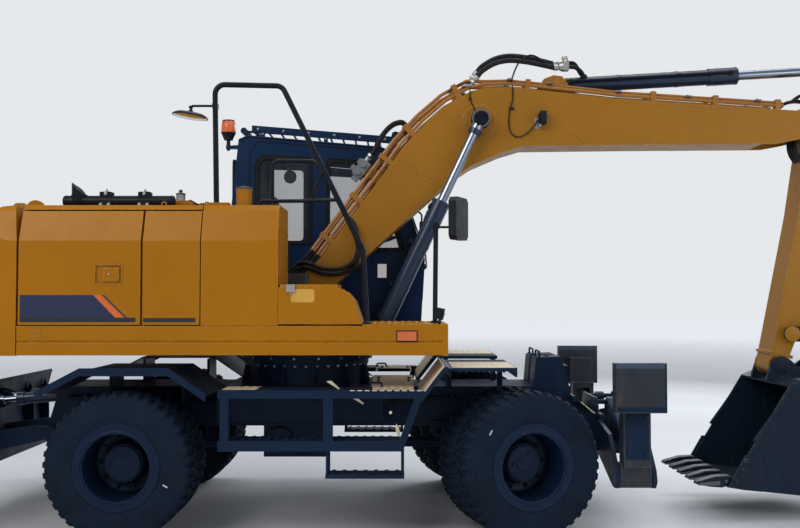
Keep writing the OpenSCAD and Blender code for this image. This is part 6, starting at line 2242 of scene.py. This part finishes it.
ring_bits = Piece()
for k, t in enumerate(turns(36, 0.5)):
    c, s = math.cos(t), math.sin(t)
    ring_bits.nut((495 * c, 495 * s, 1185), (0, 0, -1), 22, 15)
    if k % 2 == 0:
        ring_bits.nut((541 * c, 541 * s, 1240), (c, s, 0), 15, 9)
ring_bits.done("slew_ring_bolts", steel, "chassis", "navy_paint")
drum = Piece()
bead_ring(drum, (0, 0, 1012), UP, 482, 7, 72)
for t in turns(12, 0.5):
    c, s = math.cos(t), math.sin(t)
    gusset = ((478, 1012), (536, 1012), (505, 1184), (478, 1184))
    drum.skin([drum.ring([(r * c - d * s, r * s + d * c, z) for r, z in gusset]) for d in (-5, 5)])
drum.done("drum_ribs", navy, "chassis", "navy_paint")
upper_bolts = Piece()
for t in turns(32):
    upper_bolts.nut((500 * math.cos(t), 500 * math.sin(t), 1355), UP, 20, 14)
upper_bolts.done("upper_ring_bolts", steel, "upper", "black_paint")

# Decks, steps and guards: tread plates, dashes on the step beams, ladder bars, brackets and handles. The
# cream of the tread plates, sloped plates and dashes is a painted glare of the sky on them

# Cream colour for the tread plates, the sloped plates and the pieces on the step beams: a painted glare,
# the sky's reflection on them.
tread_plate_painted_glare = metal("tread_plate_painted_glare", (0.86, 0.74, 0.52), 0.5, (5.0, 40.0, 5.0), 0.1)


def tread_top(piece, x0, x1, y0, y1, z, pitch=58):
    """A plate with raised bars in alternate directions."""
    piece.box(x0, x1, y0, y1, z, z + 3, 1)
    i = 0
    x = x0 + pitch / 2
    while x < x1 - pitch / 3:
        j = 0
        y = y0 + pitch / 2
        while y < y1 - pitch / 3:
            dx, dy = (17, 5) if (i + j) % 2 else (5, 17)
            corners = ((-1, -1), (1, -1), (1, 1), (-1, 1))
            rings = [
                piece.ring([(x + a * dx * k, y + b * dy * k, z + h) for a, b in corners])
                for k, h in ((1, 2.8), (0.7, 5.5))
            ]
            piece.skin(rings)
            y += pitch
            j += 1
        x += pitch
        i += 1


for s, tag in ((-1, "right"), (1, "left")):
    plates = Piece()
    tread_top(plates, 1140, 1590, *sorted((s * 560, s * 1140)), 1216)
    tread_top(plates, 575, 868, *sorted((s * 950, s * 1185)), 1066)
    tread_top(plates, -480, -240, *sorted((s * 950, s * 1185)), 1066)
    plates.done("tread_plates_" + tag, tread_plate_painted_glare, "chassis", "navy_paint")
    studs = Piece()
    for x in (608, 838):
        for y in (560, 700):
            studs.nut((x, s * y, 1104 - (y - 372) * 0.0588), UP, 19, 12)
    inner = Piece()
    inner.section([(s * 950, 1066), (s * 372, 1100), (s * 372, 1104), (s * 950, 1070)], 560, 868)
    inner.section([(s * 950, 1040), (s * 372, 1074), (s * 372, 1100), (s * 950, 1066)], 560, 568)
    inner.section([(s * 950, 1040), (s * 372, 1074), (s * 372, 1100), (s * 950, 1066)], 860, 868)
    inner.done("inner_deck_plate_" + tag, tread_plate_painted_glare, "chassis", "navy_paint")
    studs.done("tread_plate_bolts_" + tag, black, "chassis", "black_paint")
    slope_plate = Piece()
    points = [(1118, 1218), (1078, 1229), (1030, 1170), (918, 1022)]
    rings = []
    for x, z in points:
        rings.append(
            slope_plate.ring(
                [
                    (x + d, s * y, z + e)
                    for d, e, y in ((0, 0, 372), (0, 0, 1242), (-6, 6, 1242), (-6, 6, 372))
                ]
            )
        )
    slope_plate.skin(rings)
    slope_plate.done("slope_plate_" + tag, tread_plate_painted_glare, "chassis", "navy_paint")

    # Cream dashes, strips, a disc and a leaf on the step beams: painted glints.
    glint_dashes = Piece()
    for k in range(10):
        x = 420 + k * 52
        glint_dashes.box(x, x + 34, *sorted((s * 1238, s * 1251)), 1063, 1068.5, 1)
    for x0, z0, x1, z1 in ((250, 1122, 338, 1066), (430, 1006, 508, 962)):
        glint_dashes.slab(
            [(x0, z0), (x0 + 34, z0 + 6), (x1 + 8, z1 + 6), (x1, z1)], *sorted((s * 1160, s * 1166)), 1
        )
    glint_dashes.lathe([(0, 11), (8, 11), (10, 6), (10, 0)], (704, s * 1196, 908), (0, s, 0), 14)
    leaf = [(744, 832), (762, 800), (772, 762), (766, 738), (750, 752), (738, 796)]
    glint_dashes.slab(leaf, *sorted((s * 1196, s * 1202)), 1)
    glint_dashes.done("step_beam_dashes_" + tag, tread_plate_painted_glare, "chassis", "navy_paint")

    bits = Piece()
    for x in (300, 375, 450, 525, 600, 675, 750):
        bits.box(x - 14, x + 14, *sorted((s * 1066, s * 1240)), 480, 487, 2)
    for x in range(-460, 760, 61):
        bits.box(x - 12, x + 12, *sorted((s * 1020, s * 1184)), 714, 721, 2)
    bits.sweep(
        rounded(
            [(556, s * 1010, 1068), (556, s * 1010, 1100), (640, s * 1010, 1100), (640, s * 1010, 1068)],
            16
        ),
        8, 10
    )
    for x in (-1400, -1200, -1000):
        bits.nut((x, s * 1200, 1199), UP, 17, 10)
    # Serrated end plates under the fender's lip
    for k in range(9):
        x = 1176 + k * 44
        bits.slab([(x, 1204), (x + 22, 1178), (x + 44, 1204)], *sorted((s * 1138, s * 1146)))
    for x in (1120, 1590):
        bits.slab([(x, 1204), (x, 1150), (x + 12, 1150), (x + 12, 1204)], *sorted((s * 500, s * 1140)), 2)
    bits.box(2052, 2110, *sorted((s * 70, s * 280)), 1160, 1172, 3)
    for y in (110, 240):
        bits.nut((1950, s * y, 1240), UP, 17, 10)
        bits.lathe([(0, 16), (12, 16), (14, 12)], (1880, s * (80 if y == 110 else 290), 1232), UP, 16)
    bits.done("guard_fittings_" + tag, navy, "chassis", "navy_paint", 40)

# Frame: pipes along the chassis, and brake hoses and bolts of the axles

runs = Piece()
for k in range(3):
    y = -336 - k * 30
    runs.sweep(
        rounded(
            [
                (-1850, y, 930), (-1300, y, 930), (-900, y, 900), (700, y, 900), (1250, y, 930),
                (2050, y, 930)
            ],
            60
        ),
        9, 10
    )
for x in (-1700, -1080, -640, -200, 240, 660, 1180, 1900):
    z = 930 if abs(x) > 1000 else 902
    runs.box(x - 14, x + 14, -408, -322, z - 16, z + 16, 3)
runs.done("chassis_pipes", black, "chassis", "navy_paint", 40)
hoses = Piece()
for s in (-1, 1):
    for x in (1400, 1450):
        hoses.sweep(
            spline(
                [(x, s * 330, 760), (x, s * 380, 700), (x + 10, s * 430, 640), (x + 30, s * 450, 560)], 8
            ),
            9, 10
        )
    for x in (-1310, -1120):
        hoses.sweep(
            spline(
                [(x, s * 330, 760), (x, s * 400, 720), (x + 20, s * 470, 640), (x + 40, s * 500, 580)], 8
            ),
            9, 10
        )
hoses.done("axle_hoses", hose_rubber, "chassis", "black_paint", 50)
axle_bits = Piece()
for x in (REAR_X, FRONT_X):
    for t in turns(10, 0.5):
        for s in (-1, 1):
            axle_bits.nut((x + 150 * math.cos(t), s * 120, HUB_Z + 150 * math.sin(t)), (0, s, 0), 16, 9)
axle_bits.done("axle_bolts", navy, "chassis", "navy_paint", 40)

# Blade: cutting edge with bolts, back ribs; outriggers: welds, wear plates and lugs

edge = Piece()
edge.slab([(-2690, 342), (-2622, 342), (-2610, 356), (-2640, 440), (-2652, 438)], -1248, 1248, 3)
for k in range(11):
    edge.nut((-2626, -1150 + k * 230, 402), (1, 0, 0.3), 26, 14)
edge.done("blade_edge", tooth_look, "blade", "navy_paint", 40)
ribs = Piece()
for k in range(7):
    y = -1080 + k * 360
    if abs(abs(y) - 330) > 60 and abs(y) > 220:
        ribs.slab(
            [
                (-2570, 480), (-2520, 560), (-2528, 860), (-2560, 960), (-2600, 860), (-2604, 700),
                (-2590, 560)
            ],
            y - 8, y + 8, 2
        )
ribs.sweep([(-2568, -1240, 1018), (-2568, 1240, 1018)], 16, 12)
for s in (-1, 1):
    bead(ribs, (-2560, s * 366, 480), (-2585, s * 366, 640), 7)
    bead(ribs, (-2560, s * 294, 480), (-2585, s * 294, 640), 7)
ribs.done("blade_ribs", navy, "blade", "navy_paint", 40)
for s, tag in ((-1, "right"), (1, "left")):
    leg = Piece()
    for x in (2276, 2634):
        bead(leg, (x, s * 1221, 912), (x, s * 1221, 1248), 5)
    leg.box(2290, 2620, *sorted((s * 1219, s * 1226)), 915, 945, 2)
    for x in (2363, 2562):
        bead(leg, (x, s * 1036, 510), (x, s * 1036, 925), 5)
    leg.box(2380, 2545, *sorted((s * 1079, s * 1086)), 560, 900, 4)
    for z in (600, 860):
        for x in (2405, 2520):
            leg.nut((x, s * 1086, z), (0, s, 0), 22, 12)
    leg.lathe([(0, 48), (8, 48), (10, 44), (10, 0)], (2608, s * 985, 400), AHEAD, 28)
    leg.done("outrigger_bits_" + tag, navy, "outrigger_" + tag, "navy_paint", 40)
# Thin cream plates on the front slope: a painted glare.
shine_plate = Piece()
for s in (-1, 1):
    rings = [
        shine_plate.ring([(x, s * y0, z), (x, s * y1, z), (x + 4, s * y1, z + 6), (x + 4, s * y0, z + 6)])
        for x, z, y0, y1 in ((2120, 948, 300, 426), (2290, 806, 300, 426))
    ]
    shine_plate.skin(rings)
shine_plate.done("front_slope_plates", tread_plate_painted_glare, "chassis", "navy_paint")

tag_plate = Piece()
tag_plate.box(593, 663, -366, -362, 1871, 1979, 2)
tag_plate.done("blank_tag", plate_white, "upper", "black_paint")
